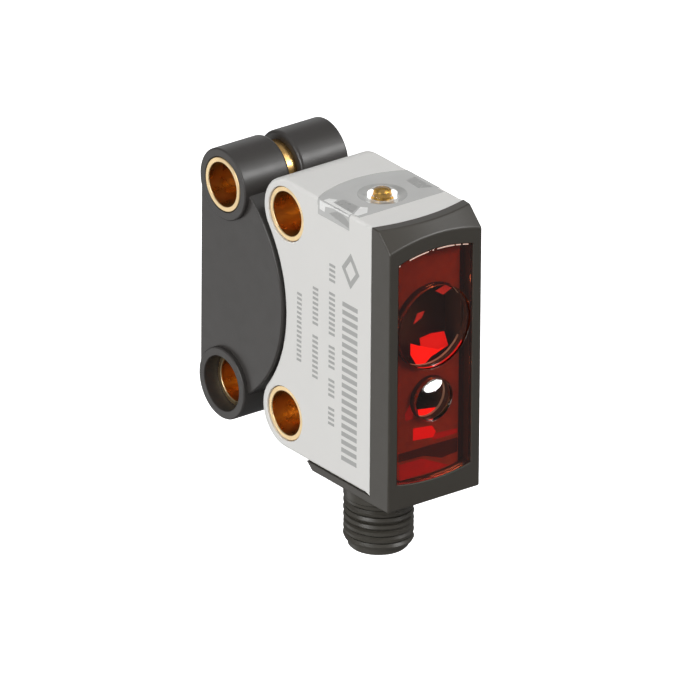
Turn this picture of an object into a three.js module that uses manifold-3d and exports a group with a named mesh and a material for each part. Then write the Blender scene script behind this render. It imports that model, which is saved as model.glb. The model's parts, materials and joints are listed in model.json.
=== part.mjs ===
// Subminiature photoelectric sensor with a rear saddle adapter and an M5 plug.
// Millimetres, +Z up. The lenses look along -Y and the flat mounting side faces +X.
// The sizes below are laid out with X = 0 on the mid-plane, Y = 0 on the front face
// and Z = 0 under the base. The last group moves the whole sensor so that its origin
// is the reference point in the middle of the mounting side.
import * as THREE from 'three';
import { mergeVertices } from 'three/addons/utils/BufferGeometryUtils.js';
import Module from 'manifold-3d';

const wasm = await Module();
wasm.setup();

// ---------------------------------------------------------------- driving dimensions
const bodyWidth = 8.0;
const bodyDepth = 14.6;
const bodyHeight = 21.1;
const fit = 0.04; // gap between pieces that seat on each other
const past = 1.0; // how far a cutter runs past the face that it opens

const frame = { depth: 2.14, baseThickness: 0.58, baseEndSlope: 0.6, side: 0.8 };
const chamfer = { height: 1.35, depth: 1.4, crown: 0.43 };
const lip = { rise: 0.6, thickness: 0.8 };
const windowPane = { thickness: 0.5, bottom: 2.0, belowTop: 2.35, topRise: 0.5, bottomSag: 0.37 };
const throatLedge = { bottom: 0.6, top: 0.15 };

const wall = { side: 0.75, floor: 0.8, roof: 0.8, saddle: 1.0, boss: 0.6, rear: 0.76 };
const pocketClearOfBoss = 0.6;
const sleeve = { outerRadius: 2.0, thickness: 0.4, recess: 0.25 };

const statusPane = { front: 3.95, sideBack: 8.35, apexBack: 9.45, thickness: 0.55 };
const statusTab = { front: 4.7, back: 8.3, drop: 1.2, thickness: 0.4 };
const lightWell = { inset: 0.55, front: 4.6, back: 8.2 };

const button = { y: 6.2, capRadius: 1.05, domeRise: 0.3, belowTop: 0.04, guide: 0.07 };
const buttonFlange = { width: 0.4, thickness: 0.2, belowPane: 0.35 };
const buttonStem = { radius: 0.45, length: 0.1 };
const buttonTravel = 0.25;
const buttonSpare = 0.03; // gap left over the snap dome when the button is fully down
const dimple = { width: 0.7, depth: 0.2 };

const plug = { radius: 2.5, collar: 1.8, threadLength: 3.4, pitch: 0.5, threadDepth: 0.3 };
const plugTip = { step: 0.35, length: 0.5 };
const plugBore = { wall: 0.35, length: 3.4 };
const plugFlange = { width: 0.3, thickness: 0.5, clearance: 0.1 };
const plugSealThickness = 0.3;
const baseBehindPlug = 0.6;
const contact = { count: 4, radius: 0.22, wall: 0.68, setBack: 0.7, aboveCarrier: 0.6 };
const carrierThickness = 3.2;

const adapter = {
  pitch: 6.6,
  bossWall: 0.64,
  bossBeyondSide: 0.55,
  plateBeyondSide: 0.18,
  backBehindBoss: 0.32,
  noseGap: 0.12,
  noseEase: 0.5,
  grooveWidth: 1.0,
  sleeveRecess: 1.15,
};

const optics = { gap: 0.11, depth: 2.65, sideGap: 0.15, bottom: 3.4, belowBoardTop: 0.1 };
const receiver = { belowPane: 2.45, sideGap: 0.1, lensRim: 0.45, lensCrown: 0.75, chamber: 2.2 };
const emitter = { lensGap: 0.94, lensRadius: 1.5, lensRim: 0.4, lensCrown: 0.4, throat: 0.8 };
const laser = { canRadius: 1.05, canLength: 1.2, flangeRadius: 1.4, flangeThickness: 0.4 };
const laserRing = { radius: 0.8, thickness: 0.3 };
const laserLead = { count: 3, radius: 0.12, circle: 0.45 };
const filterPlate = { inset: 0.1, thickness: 0.3 };
const prismSize = 1.6;

const mainBoard = { gap: 0.5, thickness: 0.6, sideGap: 0.25, bottom: 3.3 };
const topBoard = { front: 3.2, backGap: 0.5, sideGap: 0.35, gap: 0.25, thickness: 0.5 };
const shieldCan = { width: 4.6, height: 4.2, depth: 1.5, sheet: 0.25 };
const processor = { z: 8.0, side: 3.6, depth: 0.9 };
const driver = { z: 4.8, width: 2.4, height: 1.8, depth: 0.8 };
const capacitor = { count: 3, pitch: 1.6, belowBoardTop: 1.3, width: 0.8, height: 1.4, depth: 0.8 };
const switchBase = { halfWidth: 1.3, thickness: 0.35 };
const switchDome = { radius: 0.9, rise: 0.16 };
const led = { inset: 0.6, y: 7.4, width: 1.0, depth: 0.6, height: 0.5 };
const solder = 0.03; // gap under a component that is soldered down

// ------------------------------------------------------------------ derived positions
const halfWidth = bodyWidth / 2;
const cavityHalf = halfWidth - wall.side;
const boreRadius = sleeve.outerRadius + fit;
const bossRadius = sleeve.outerRadius + wall.boss;
const baseTop = frame.baseThickness + fit;
const bossY = bodyDepth - bossRadius;
const lowerZ = baseTop + bossRadius;
const upperZ = bodyHeight - bossRadius;
const middleZ = (lowerZ + upperZ) / 2;
const halfSpacing = (upperZ - lowerZ) / 2;
const saddleRadius = (halfSpacing ** 2 - bossRadius ** 2) / (2 * bossRadius);
const saddleY = bossY + saddleRadius;
const floorTop = baseTop + wall.floor;
const roofUnder = bodyHeight - wall.roof;
const cavityBack = bossY - boreRadius - wall.rear;
const mountY = (frame.depth + bossY) / 2;

const paneHalf = halfWidth - frame.side;
const paneTop = bodyHeight - windowPane.belowTop;
const lensRadius = paneHalf - receiver.sideGap;
const receiverZ = paneTop - receiver.belowPane - lensRadius;
const emitterZ = receiverZ - lensRadius - emitter.lensRadius - emitter.lensGap;

const statusUnder = bodyHeight - statusPane.thickness;
const wellHalf = cavityHalf - lightWell.inset;
const buttonHole = button.capRadius + button.guide;
const flangeRadius = button.capRadius + buttonFlange.width;
const flangeTop = statusUnder - buttonFlange.belowPane;
const flangeUnder = flangeTop - buttonFlange.thickness;
const stemUnder = flangeUnder - buttonStem.length;
const snapDomeUnder = stemUnder - buttonTravel - buttonSpare - switchDome.rise - solder;
const switchUnder = snapDomeUnder - solder - switchBase.thickness;
const topBoardTop = switchUnder - solder;
const topBoardUnder = topBoardTop - topBoard.thickness;

const mainBoardTop = topBoardUnder - topBoard.gap;
const opticsFront = frame.depth + optics.gap;
const opticsBack = opticsFront + optics.depth;
const boardFront = opticsBack + mainBoard.gap;
const boardBack = boardFront + mainBoard.thickness;

const plugFlangeRadius = plug.radius + plugFlange.width;
const plugY = cavityBack - plugFlangeRadius - plugFlange.clearance;
const plugRoot = plug.radius - plug.threadDepth;
const plugBoreRadius = plugRoot - plugBore.wall;
const plugEnd = -plug.collar - plug.threadLength - plugTip.length;
const carrierUnder = plugEnd + plugBore.length;
const contactCircle = plugBoreRadius - contact.radius - contact.wall;
const baseLength = plugY + plug.radius + baseBehindPlug;

const adapterY = bossY + adapter.pitch;
const adapterBossRadius = sleeve.outerRadius + adapter.bossWall;
const adapterBossHalf = halfWidth + adapter.bossBeyondSide;
const adapterBackY = adapterY + adapterBossRadius + adapter.backBehindBoss;

// Sides of the two large rounds, of which only a few facets are left, and of the others.
const barrelSides = 240;
const noseSides = 100;
const fine = 56;
const round = 36;
const small = 16;

// ------------------------------------------------------------------------- materials
function finish(color, roughness, metalness = 0) {
  return new THREE.MeshStandardMaterial({ color, roughness, metalness });
}

const finishes = {
  lightGrey: finish('#dcdbd9', 0.5),
  black: finish('#403e3a', 0.5),
  redPane: finish('#6b1c14', 0.1),
  clear: finish('#e8ecec', 0.1),
  smoke: finish('#a8a8a6', 0.2),
  brass: finish('#d9a864', 0.3, 1),
  gold: finish('#c9a24a', 0.25, 1),
  steel: finish('#b9bbbd', 0.35, 1),
  board: finish('#1f5a36', 0.6),
  chip: finish('#222324', 0.6),
  ceramic: finish('#b49a78', 0.6),
  rubber: finish('#1d1d1d', 0.9),
  green: finish('#3fae4a', 0.3),
  yellow: finish('#e3b92c', 0.3),
};

// --------------------------------------------------------------------- solid helpers
function toSolid(geometry) {
  geometry.deleteAttribute('normal');
  geometry.deleteAttribute('uv');
  const merged = mergeVertices(geometry, 1e-5);
  const corners = merged.index.array;
  const triangles = [];
  for (let i = 0; i < corners.length; i += 3) {
    const [a, b, c] = [corners[i], corners[i + 1], corners[i + 2]];
    if (a !== b && b !== c && c !== a) triangles.push(a, b, c);
  }
  return new wasm.Manifold(new wasm.Mesh({
    numProp: 3,
    vertProperties: new Float32Array(merged.attributes.position.array),
    triVerts: new Uint32Array(triangles),
  }));
}

function toGeometry(solid) {
  const mesh = solid.getMesh();
  const geometry = new THREE.BufferGeometry();
  geometry.setAttribute('position', new THREE.BufferAttribute(mesh.vertProperties, 3));
  geometry.setIndex(new THREE.BufferAttribute(mesh.triVerts, 1));
  geometry.computeVertexNormals();
  return geometry;
}

function join(...solids) {
  return solids.reduce((whole, solid) => whole.add(solid));
}

function cut(solid, ...cutters) {
  return cutters.reduce((rest, cutter) => rest.subtract(cutter), solid);
}

function extrude(shape, depth) {
  return new THREE.ExtrudeGeometry(shape, { depth, bevelEnabled: false, curveSegments: small });
}

// Each prism takes a shape drawn in the other two axes, in the order of its name.
function prismAlongX(shapeYZ, x0, x1) {
  const axes = new THREE.Matrix4().makeBasis(
    new THREE.Vector3(0, 1, 0), new THREE.Vector3(0, 0, 1), new THREE.Vector3(1, 0, 0));
  return toSolid(extrude(shapeYZ, x1 - x0).applyMatrix4(axes).translate(x0, 0, 0));
}

function prismAlongY(shapeXZ, y0, y1) {
  const axes = new THREE.Matrix4().makeBasis(
    new THREE.Vector3(1, 0, 0), new THREE.Vector3(0, 0, 1), new THREE.Vector3(0, -1, 0));
  return toSolid(extrude(shapeXZ, y1 - y0).applyMatrix4(axes).translate(0, y1, 0));
}

function prismAlongZ(shapeXY, z0, z1) {
  return toSolid(extrude(shapeXY, z1 - z0).translate(0, 0, z0));
}

function block(x0, x1, y0, y1, z0, z1) {
  const geometry = new THREE.BoxGeometry(x1 - x0, y1 - y0, z1 - z0);
  return toSolid(geometry.translate((x0 + x1) / 2, (y0 + y1) / 2, (z0 + z1) / 2));
}

function rodAlongX(y, z, radius, x0, x1, sides = round) {
  const geometry = new THREE.CylinderGeometry(radius, radius, x1 - x0, sides);
  return toSolid(geometry.rotateZ(-Math.PI / 2).translate((x0 + x1) / 2, y, z));
}

function rodAlongY(x, z, radius, y0, y1, sides = round) {
  const geometry = new THREE.CylinderGeometry(radius, radius, y1 - y0, sides);
  return toSolid(geometry.translate(x, (y0 + y1) / 2, z));
}

function rodAlongZ(x, y, radius, z0, z1, sides = round) {
  const geometry = new THREE.CylinderGeometry(radius, radius, z1 - z0, sides);
  return toSolid(geometry.rotateX(Math.PI / 2).translate(x, y, (z0 + z1) / 2));
}

// Turns a list of [radius, height] points, listed upwards, about a vertical axis.
function turned(profile, x, y, sides = round) {
  const points = profile.map(([radius, height]) => new THREE.Vector2(radius, height));
  return toSolid(new THREE.LatheGeometry(points, sides).rotateX(Math.PI / 2).translate(x, y, 0));
}

// Turns the same kind of list about an axis along +Y.
function turnedAlongY(profile, x, z, sides = round) {
  const points = profile.map(([radius, y]) => new THREE.Vector2(radius, y));
  return toSolid(new THREE.LatheGeometry(points, sides).translate(x, 0, z));
}

function outline(points) {
  return new THREE.Shape(points.map(([a, b]) => new THREE.Vector2(a, b)));
}

// Radius of the circle through the ends of a chord and a point that rises from its middle.
function radiusOfArc(halfChord, rise) {
  return (halfChord ** 2 + rise ** 2) / (2 * rise);
}

// Points from -halfChord to +halfChord along an arc that rises from the level of its ends.
function arcPoints(halfChord, rise, level, steps = small) {
  const radius = radiusOfArc(halfChord, rise);
  const points = [];
  for (let i = 0; i <= steps; i += 1) {
    const across = -halfChord + (2 * halfChord * i) / steps;
    points.push([across, level + rise - radius + Math.sqrt(radius ** 2 - across ** 2)]);
  }
  return points;
}

// Points [radius, height] over a dome, from its rim up to its top on the axis.
function domePoints(rimRadius, rise, rimHeight, steps = 4) {
  const radius = radiusOfArc(rimRadius, rise);
  const sweep = Math.asin(rimRadius / radius);
  const points = [];
  for (let i = 0; i <= steps; i += 1) {
    const angle = sweep * (1 - i / steps);
    points.push([radius * Math.sin(angle), rimHeight + rise - radius + radius * Math.cos(angle)]);
  }
  points[steps][0] = 0;
  return points;
}

// --------------------------------------------------------------------------- housing
// Side view with two round bosses and the saddle that is tangent to both.
function housingOutline(front) {
  const lean = Math.atan2(halfSpacing, saddleRadius);
  const shape = new THREE.Shape();
  shape.moveTo(front, baseTop);
  shape.lineTo(bossY, baseTop);
  shape.absarc(bossY, lowerZ, bossRadius, -Math.PI / 2, lean, false);
  shape.absarc(saddleY, middleZ, saddleRadius, Math.PI + lean, Math.PI - lean, true);
  shape.absarc(bossY, upperZ, bossRadius, -lean, Math.PI / 2, false);
  shape.lineTo(front, bodyHeight);
  shape.closePath();
  return shape;
}

// The roof runs forward in a shallow arc between the housing and the front frame.
function lipArc(back) {
  return arcPoints(halfWidth, lip.rise, 0).map(([x, rise]) => [x, back - rise]);
}

function housingLip() {
  const front = frame.depth + fit;
  const back = front + wall.roof;
  const lipShape = outline([[halfWidth, back], [-halfWidth, back], ...lipArc(front)]);
  return prismAlongZ(lipShape, bodyHeight - lip.thickness, bodyHeight);
}

function statusPaneOutline(ease) {
  const side = halfWidth + (ease > 0 ? 0 : past);
  const rise = statusPane.apexBack - statusPane.sideBack;
  const arc = arcPoints(halfWidth, rise, statusPane.sideBack - ease);
  return outline([
    [-side, statusPane.front + ease], [side, statusPane.front + ease],
    [side, statusPane.sideBack - ease], ...arc.reverse(), [-side, statusPane.sideBack - ease],
  ]);
}

function statusTabBlocks(ease) {
  const inner = halfWidth - statusTab.thickness + ease;
  const outer = halfWidth + (ease > 0 ? 0 : past);
  const top = ease > 0 ? bodyHeight : bodyHeight + past;
  const bottom = bodyHeight - statusTab.drop + ease;
  const [front, back] = [statusTab.front + ease, statusTab.back - ease];
  return join(
    block(inner, outer, front, back, bottom, top),
    block(-outer, -inner, front, back, bottom, top));
}

function makeHousing() {
  const front = frame.depth + fit;
  const reach = bossRadius + pocketClearOfBoss;
  const pocketBack = bossY - wall.saddle;
  return cut(
    join(prismAlongX(housingOutline(front), -halfWidth, halfWidth), housingLip()),
    block(-cavityHalf, cavityHalf, front - past, cavityBack, floorTop, roofUnder),
    block(-cavityHalf, cavityHalf, cavityBack - past, pocketBack, lowerZ + reach, upperZ - reach),
    rodAlongX(bossY, lowerZ, boreRadius, -halfWidth - past, halfWidth + past),
    rodAlongX(bossY, upperZ, boreRadius, -halfWidth - past, halfWidth + past),
    rodAlongZ(0, plugY, plug.radius + fit, 0, floorTop + fit),
    prismAlongZ(statusPaneOutline(0), statusUnder, bodyHeight + past),
    statusTabBlocks(0),
    block(-wellHalf, wellHalf, lightWell.front, lightWell.back, roofUnder - past, bodyHeight));
}

// ----------------------------------------------------------------------- front frame
// One moulding: the bezel round the window and the base plate under the housing.
function frameOutline() {
  return outline([
    [0, 0], [baseLength - frame.baseEndSlope, 0], [baseLength, frame.baseThickness],
    [frame.depth, frame.baseThickness], [frame.depth, bodyHeight], [0, bodyHeight],
  ]);
}

// A large barrel whose skin is the crowned slope between the front and the top.
function crownBarrel() {
  const radius = radiusOfArc(halfWidth, chamfer.crown);
  const slope = Math.atan2(chamfer.height, chamfer.depth);
  const reach = 2 * bodyHeight;
  const inward = radius - chamfer.crown;
  const geometry = new THREE.CylinderGeometry(radius, radius, 2 * reach, barrelSides);
  geometry.rotateX(slope);
  geometry.translate(
    0, inward * Math.sin(slope), bodyHeight - chamfer.height - inward * Math.cos(slope));
  return toSolid(geometry);
}

function windowOutline(ease) {
  const half = paneHalf - ease;
  const bottomArc = arcPoints(half, windowPane.bottomSag, 0)
    .map(([x, sag]) => [x, windowPane.bottom + ease - sag]);
  const topArc = arcPoints(half, windowPane.topRise, paneTop - ease);
  return outline([...bottomArc, ...topArc.reverse()]);
}

function frameLipRecess() {
  const side = halfWidth + past;
  const back = frame.depth + past;
  const recess = outline([
    [side, back], [-side, back], [-side, frame.depth], ...lipArc(frame.depth), [side, frame.depth]]);
  return prismAlongZ(recess, bodyHeight - lip.thickness - fit, bodyHeight + past);
}

function makeFrontFrame() {
  const [throatBottom, throatTop] = [windowPane.bottom + throatLedge.bottom, paneTop - throatLedge.top];
  return cut(
    prismAlongX(frameOutline(), -halfWidth, halfWidth).intersect(crownBarrel()),
    prismAlongY(windowOutline(0), -past, windowPane.thickness + 2 * fit),
    block(-paneHalf, paneHalf, 0, frame.depth + past, throatBottom, throatTop),
    frameLipRecess(),
    rodAlongZ(0, plugY, plug.radius + fit, -past, frame.baseThickness + past));
}

function makeFrontWindow() {
  return prismAlongY(windowOutline(fit), fit, windowPane.thickness + fit);
}

// ---------------------------------------------------------------------------- optics
// Flat towards the window and crowned towards the inside.
function makeLens(z, radius, rim, crown) {
  const front = windowPane.thickness + 3 * fit;
  const profile = [[0, front], [radius, front], ...domePoints(radius, crown, front + rim)];
  return turnedAlongY(profile, 0, z);
}

function makeOpticsBlock() {
  const half = cavityHalf - optics.sideGap;
  const chamber = receiver.chamber;
  const seatFront = opticsBack - laserRing.thickness - laser.flangeThickness - 2 * fit;
  const canFront = seatFront - laser.canLength - fit;
  const front = opticsFront;
  return cut(
    block(-half, half, front, opticsBack, optics.bottom, mainBoardTop - optics.belowBoardTop),
    block(-chamber, chamber, front - past, opticsBack + past, receiverZ - chamber, receiverZ + chamber),
    rodAlongY(0, emitterZ, emitter.throat, front - past, opticsBack),
    rodAlongY(0, emitterZ, laser.canRadius + fit, canFront, opticsBack),
    rodAlongY(0, emitterZ, laser.flangeRadius + fit, seatFront, opticsBack + past));
}

function makeFilter() {
  const half = receiver.chamber - filterPlate.inset;
  const front = opticsFront + filterPlate.inset;
  return block(-half, half, front, front + filterPlate.thickness, receiverZ - half, receiverZ + half);
}

function makePrism() {
  const front = opticsFront + filterPlate.inset + filterPlate.thickness + fit;
  const half = prismSize / 2;
  const side = receiver.chamber - filterPlate.inset;
  const section = outline([
    [front, receiverZ - half], [front + prismSize, receiverZ - half], [front, receiverZ + half]]);
  return prismAlongX(section, -side, side);
}

function makeLaser() {
  const back = opticsBack - laserRing.thickness - fit;
  const seat = back - laser.flangeThickness;
  return turnedAlongY([
    [0, seat - laser.canLength], [laser.canRadius, seat - laser.canLength],
    [laser.canRadius, seat], [laser.flangeRadius, seat], [laser.flangeRadius, back], [0, back],
  ], 0, emitterZ);
}

function makeLaserRing() {
  const front = opticsBack - laserRing.thickness;
  return cut(
    rodAlongY(0, emitterZ, laser.flangeRadius, front, opticsBack),
    rodAlongY(0, emitterZ, laserRing.radius, front - past, opticsBack + past));
}

function makeLaserLead(i) {
  const angle = Math.PI / 2 + (2 * Math.PI * i) / laserLead.count;
  const x = laserLead.circle * Math.cos(angle);
  const z = emitterZ + laserLead.circle * Math.sin(angle);
  const front = opticsBack - laserRing.thickness;
  return rodAlongY(x, z, laserLead.radius, front, boardFront - solder, 12);
}

function makePhotodiode() {
  const half = prismSize / 2;
  return block(-half, half, opticsBack, boardFront - solder, receiverZ - half, receiverZ + half);
}

// ----------------------------------------------------------------------- electronics
function makeMainBoard() {
  const half = cavityHalf - mainBoard.sideGap;
  return block(-half, half, boardFront, boardBack, mainBoard.bottom, mainBoardTop);
}

// A component on the back of the main board, centred at x and z.
function onMainBoard(x, z, width, height, depth) {
  const y = boardBack + solder;
  return block(x - width / 2, x + width / 2, y, y + depth, z - height / 2, z + height / 2);
}

function makeShieldCan() {
  const { width, height, depth, sheet } = shieldCan;
  const across = width / 2 - sheet;
  const up = height / 2 - sheet;
  const y = boardBack + solder;
  return cut(
    onMainBoard(0, receiverZ, width, height, depth),
    block(-across, across, y - past, y + depth - sheet, receiverZ - up, receiverZ + up));
}

function makeCapacitor(i) {
  const x = (i - (capacitor.count - 1) / 2) * capacitor.pitch;
  const z = mainBoardTop - capacitor.belowBoardTop;
  return onMainBoard(x, z, capacitor.width, capacitor.height, capacitor.depth);
}

function makeTopBoard() {
  const half = cavityHalf - topBoard.sideGap;
  return block(-half, half, topBoard.front, cavityBack - topBoard.backGap, topBoardUnder, topBoardTop);
}

function makeLed(side) {
  const x = side * (wellHalf - led.inset);
  const [across, along] = [led.width / 2, led.depth / 2];
  return block(x - across, x + across, led.y - along, led.y + along, switchUnder, switchUnder + led.height);
}

// ---------------------------------------------------------------- button and its pane
function makeSwitchBase() {
  const half = switchBase.halfWidth;
  const top = switchUnder + switchBase.thickness;
  return block(-half, half, button.y - half, button.y + half, switchUnder, top);
}

// The snap dome keeps clear of the button's stem by the button's travel.
function makeSwitchDome() {
  return turned([[0, snapDomeUnder], [switchDome.radius, snapDomeUnder],
    ...domePoints(switchDome.radius, switchDome.rise, snapDomeUnder + solder)], 0, button.y);
}

function makeTeachButton() {
  const domeRim = bodyHeight - button.belowTop - button.domeRise;
  return turned([
    [0, stemUnder], [buttonStem.radius, stemUnder], [buttonStem.radius, flangeUnder],
    [flangeRadius, flangeUnder], [flangeRadius, flangeTop], [button.capRadius, flangeTop],
    ...domePoints(button.capRadius, button.domeRise, domeRim),
  ], 0, button.y);
}

function makeButtonSeal() {
  return cut(
    rodAlongZ(0, button.y, flangeRadius, flangeTop + fit, statusUnder - fit),
    rodAlongZ(0, button.y, buttonHole, flangeTop - past, statusUnder + past));
}

function makeStatusWindow() {
  const dishRadius = button.capRadius + dimple.width;
  const dish = domePoints(dishRadius, dimple.depth, 0)
    .map(([radius, rise]) => [radius, bodyHeight - rise]);
  const top = bodyHeight + past;
  return cut(
    join(prismAlongZ(statusPaneOutline(fit), statusUnder + fit, bodyHeight), statusTabBlocks(fit)),
    turned([...dish.reverse(), [dishRadius, top], [0, top]], 0, button.y),
    rodAlongZ(0, button.y, buttonHole, statusUnder - past, bodyHeight + past));
}

// --------------------------------------------------------------------------- M5 plug
// The thread is drawn as rings of its own pitch and depth.
function threadRings() {
  const turns = Math.floor(plug.threadLength / plug.pitch);
  const rings = [];
  for (let i = turns; i > 0; i -= 1) {
    const z = -plug.collar - i * plug.pitch;
    rings.push([plugRoot, z], [plug.radius, z + plug.pitch * 0.4], [plug.radius, z + plug.pitch * 0.6]);
  }
  return rings;
}

// The flange and the seal have flats where the cavity is narrower than they are.
function betweenCavityWalls(solid) {
  const reach = plugFlangeRadius + past;
  const half = cavityHalf - fit;
  return solid.intersect(block(-half, half, plugY - reach, plugY + reach, plugEnd - past, bodyHeight));
}

function makePlugBody() {
  const tipTop = plugEnd + plugTip.length;
  const tipRadius = plug.radius - plugTip.step;
  const flangeBottom = floorTop + plugSealThickness + 2 * fit;
  const flangeEnd = flangeBottom + plugFlange.thickness;
  return betweenCavityWalls(turned([
    [plugBoreRadius, plugEnd], [tipRadius, plugEnd], [tipRadius, tipTop], [plugRoot, tipTop],
    ...threadRings(),
    [plugRoot, -plug.collar], [plug.radius, -plug.collar], [plug.radius, flangeBottom],
    [plugFlangeRadius, flangeBottom], [plugFlangeRadius, flangeEnd],
    [plugBoreRadius, flangeEnd], [plugBoreRadius, plugEnd],
  ], 0, plugY));
}

function makeContactPin(i, ease) {
  const angle = Math.PI / 4 + (2 * Math.PI * i) / contact.count;
  const x = contactCircle * Math.cos(angle);
  const y = plugY + contactCircle * Math.sin(angle);
  const top = carrierUnder + carrierThickness + contact.aboveCarrier;
  return rodAlongZ(x, y, contact.radius + ease, plugEnd + contact.setBack, top, 16);
}

function makeContactCarrier() {
  const pins = Array.from({ length: contact.count }, (_, i) => makeContactPin(i, fit));
  const top = carrierUnder + carrierThickness;
  return cut(rodAlongZ(0, plugY, plugBoreRadius - fit, carrierUnder, top), ...pins);
}

function makePlugSeal() {
  const under = floorTop + fit;
  const top = under + plugSealThickness;
  return betweenCavityWalls(cut(
    rodAlongZ(0, plugY, plugFlangeRadius, under, top),
    rodAlongZ(0, plugY, plug.radius + fit, under - past, top + past)));
}

// ---------------------------------------------------------------------------- sleeves
function makeSleeve(y, z, x0, x1) {
  return cut(
    rodAlongX(y, z, sleeve.outerRadius, x0, x1, fine),
    rodAlongX(y, z, sleeve.outerRadius - sleeve.thickness, x0 - past, x1 + past, fine));
}

// --------------------------------------------------------------------- saddle adapter
// A plate with a round nose that nests in the saddle, flat behind, between two cross barrels.
function makeAdapterPlate() {
  const half = halfWidth + adapter.plateBeyondSide;
  const radius = saddleRadius - adapter.noseEase;
  const apex = bossY + adapter.noseGap;
  const nose = rodAlongX(apex + radius, middleZ, radius, -half, half, noseSides);
  return join(
    nose.intersect(block(-half, half, apex - past, adapterBackY, lowerZ, upperZ)),
    block(-half, half, adapterY, adapterBackY, lowerZ, upperZ));
}

function makeAdapterBody() {
  const half = adapterBossHalf;
  const grooveHalf = adapter.grooveWidth / 2;
  const barrels = [lowerZ, upperZ].map((z) => rodAlongX(adapterY, z, adapterBossRadius, -half, half));
  const grooves = [lowerZ, upperZ].map(
    (z) => rodAlongX(adapterY, z, adapterBossRadius + fit, -grooveHalf, grooveHalf));
  const bores = [lowerZ, upperZ].map((z) => rodAlongX(adapterY, z, boreRadius, -half - past, half + past));
  return cut(join(makeAdapterPlate(), ...barrels), ...grooves, ...bores);
}

// ----------------------------------------------------------------------- the assembly
function addTo(group, name, solid, material) {
  const mesh = new THREE.Mesh(toGeometry(solid), material);
  mesh.name = name;
  group.add(mesh);
}

function addEnclosure(group) {
  const x = halfWidth - sleeve.recess;
  addTo(group, 'housing', makeHousing(), finishes.lightGrey);
  addTo(group, 'front_frame', makeFrontFrame(), finishes.black);
  addTo(group, 'front_window', makeFrontWindow(), finishes.redPane);
  addTo(group, 'status_window', makeStatusWindow(), finishes.smoke);
  addTo(group, 'upper_sleeve', makeSleeve(bossY, upperZ, -x, x), finishes.brass);
  addTo(group, 'lower_sleeve', makeSleeve(bossY, lowerZ, -x, x), finishes.brass);
}

function addOptics(group) {
  const large = makeLens(receiverZ, lensRadius, receiver.lensRim, receiver.lensCrown);
  const little = makeLens(emitterZ, emitter.lensRadius, emitter.lensRim, emitter.lensCrown);
  addTo(group, 'receiver_lens', large, finishes.clear);
  addTo(group, 'emitter_lens', little, finishes.clear);
  addTo(group, 'optics_block', makeOpticsBlock(), finishes.black);
  addTo(group, 'polarising_filter', makeFilter(), finishes.smoke);
  addTo(group, 'receiver_prism', makePrism(), finishes.clear);
  addTo(group, 'laser_diode', makeLaser(), finishes.gold);
  addTo(group, 'laser_retainer', makeLaserRing(), finishes.steel);
  for (let i = 0; i < laserLead.count; i += 1) {
    addTo(group, `laser_lead_${i + 1}`, makeLaserLead(i), finishes.gold);
  }
  addTo(group, 'photodiode', makePhotodiode(), finishes.chip);
}

function addElectronics(group) {
  const processorSolid = onMainBoard(0, processor.z, processor.side, processor.side, processor.depth);
  const driverSolid = onMainBoard(0, driver.z, driver.width, driver.height, driver.depth);
  addTo(group, 'main_board', makeMainBoard(), finishes.board);
  addTo(group, 'shield_can', makeShieldCan(), finishes.steel);
  addTo(group, 'processor_chip', processorSolid, finishes.chip);
  addTo(group, 'driver_chip', driverSolid, finishes.chip);
  for (let i = 0; i < capacitor.count; i += 1) {
    addTo(group, `capacitor_${i + 1}`, makeCapacitor(i), finishes.ceramic);
  }
  addTo(group, 'top_board', makeTopBoard(), finishes.board);
  addTo(group, 'status_led_green', makeLed(-1), finishes.green);
  addTo(group, 'status_led_yellow', makeLed(1), finishes.yellow);
}

function addTeachButton(group) {
  addTo(group, 'switch_base', makeSwitchBase(), finishes.chip);
  addTo(group, 'switch_dome', makeSwitchDome(), finishes.gold);
  addTo(group, 'teach_button', makeTeachButton(), finishes.clear);
  addTo(group, 'button_seal', makeButtonSeal(), finishes.rubber);
}

function addPlug(group) {
  addTo(group, 'connector_body', makePlugBody(), finishes.black);
  addTo(group, 'contact_carrier', makeContactCarrier(), finishes.black);
  for (let i = 0; i < contact.count; i += 1) {
    addTo(group, `contact_pin_${i + 1}`, makeContactPin(i, 0), finishes.gold);
  }
  addTo(group, 'connector_seal', makePlugSeal(), finishes.rubber);
}

// The adapter's sleeves are as long as its barrels less one recess, at opposite ends.
function addAdapter(group) {
  const end = adapterBossHalf;
  const inner = end - adapter.sleeveRecess;
  addTo(group, 'adapter_body', makeAdapterBody(), finishes.black);
  addTo(group, 'adapter_upper_sleeve', makeSleeve(adapterY, upperZ, -end, inner), finishes.brass);
  addTo(group, 'adapter_lower_sleeve', makeSleeve(adapterY, lowerZ, -inner, end), finishes.brass);
}

const sensor = new THREE.Group();
for (const add of [addEnclosure, addOptics, addElectronics, addTeachButton, addPlug, addAdapter]) {
  const assembly = new THREE.Group();
  add(assembly);
  sensor.add(assembly);
}
sensor.position.set(-halfWidth, -mountY, -middleZ);

export default sensor;
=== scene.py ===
"""Photoelectric sensor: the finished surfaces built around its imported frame.

Every shape is worked out in millimetres in the sensor's own layout, where X is counted
from the mid-plane, Y backwards from the front face and Z upwards from the base. A finished
piece is then moved into the frame's metres, so its object sits at the origin.
"""

from __future__ import annotations

import json
import logging
import math
from dataclasses import dataclass
from enum import Enum
from typing import Callable, Sequence

import bmesh
import bpy
from mathutils import Matrix, Vector

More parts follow.
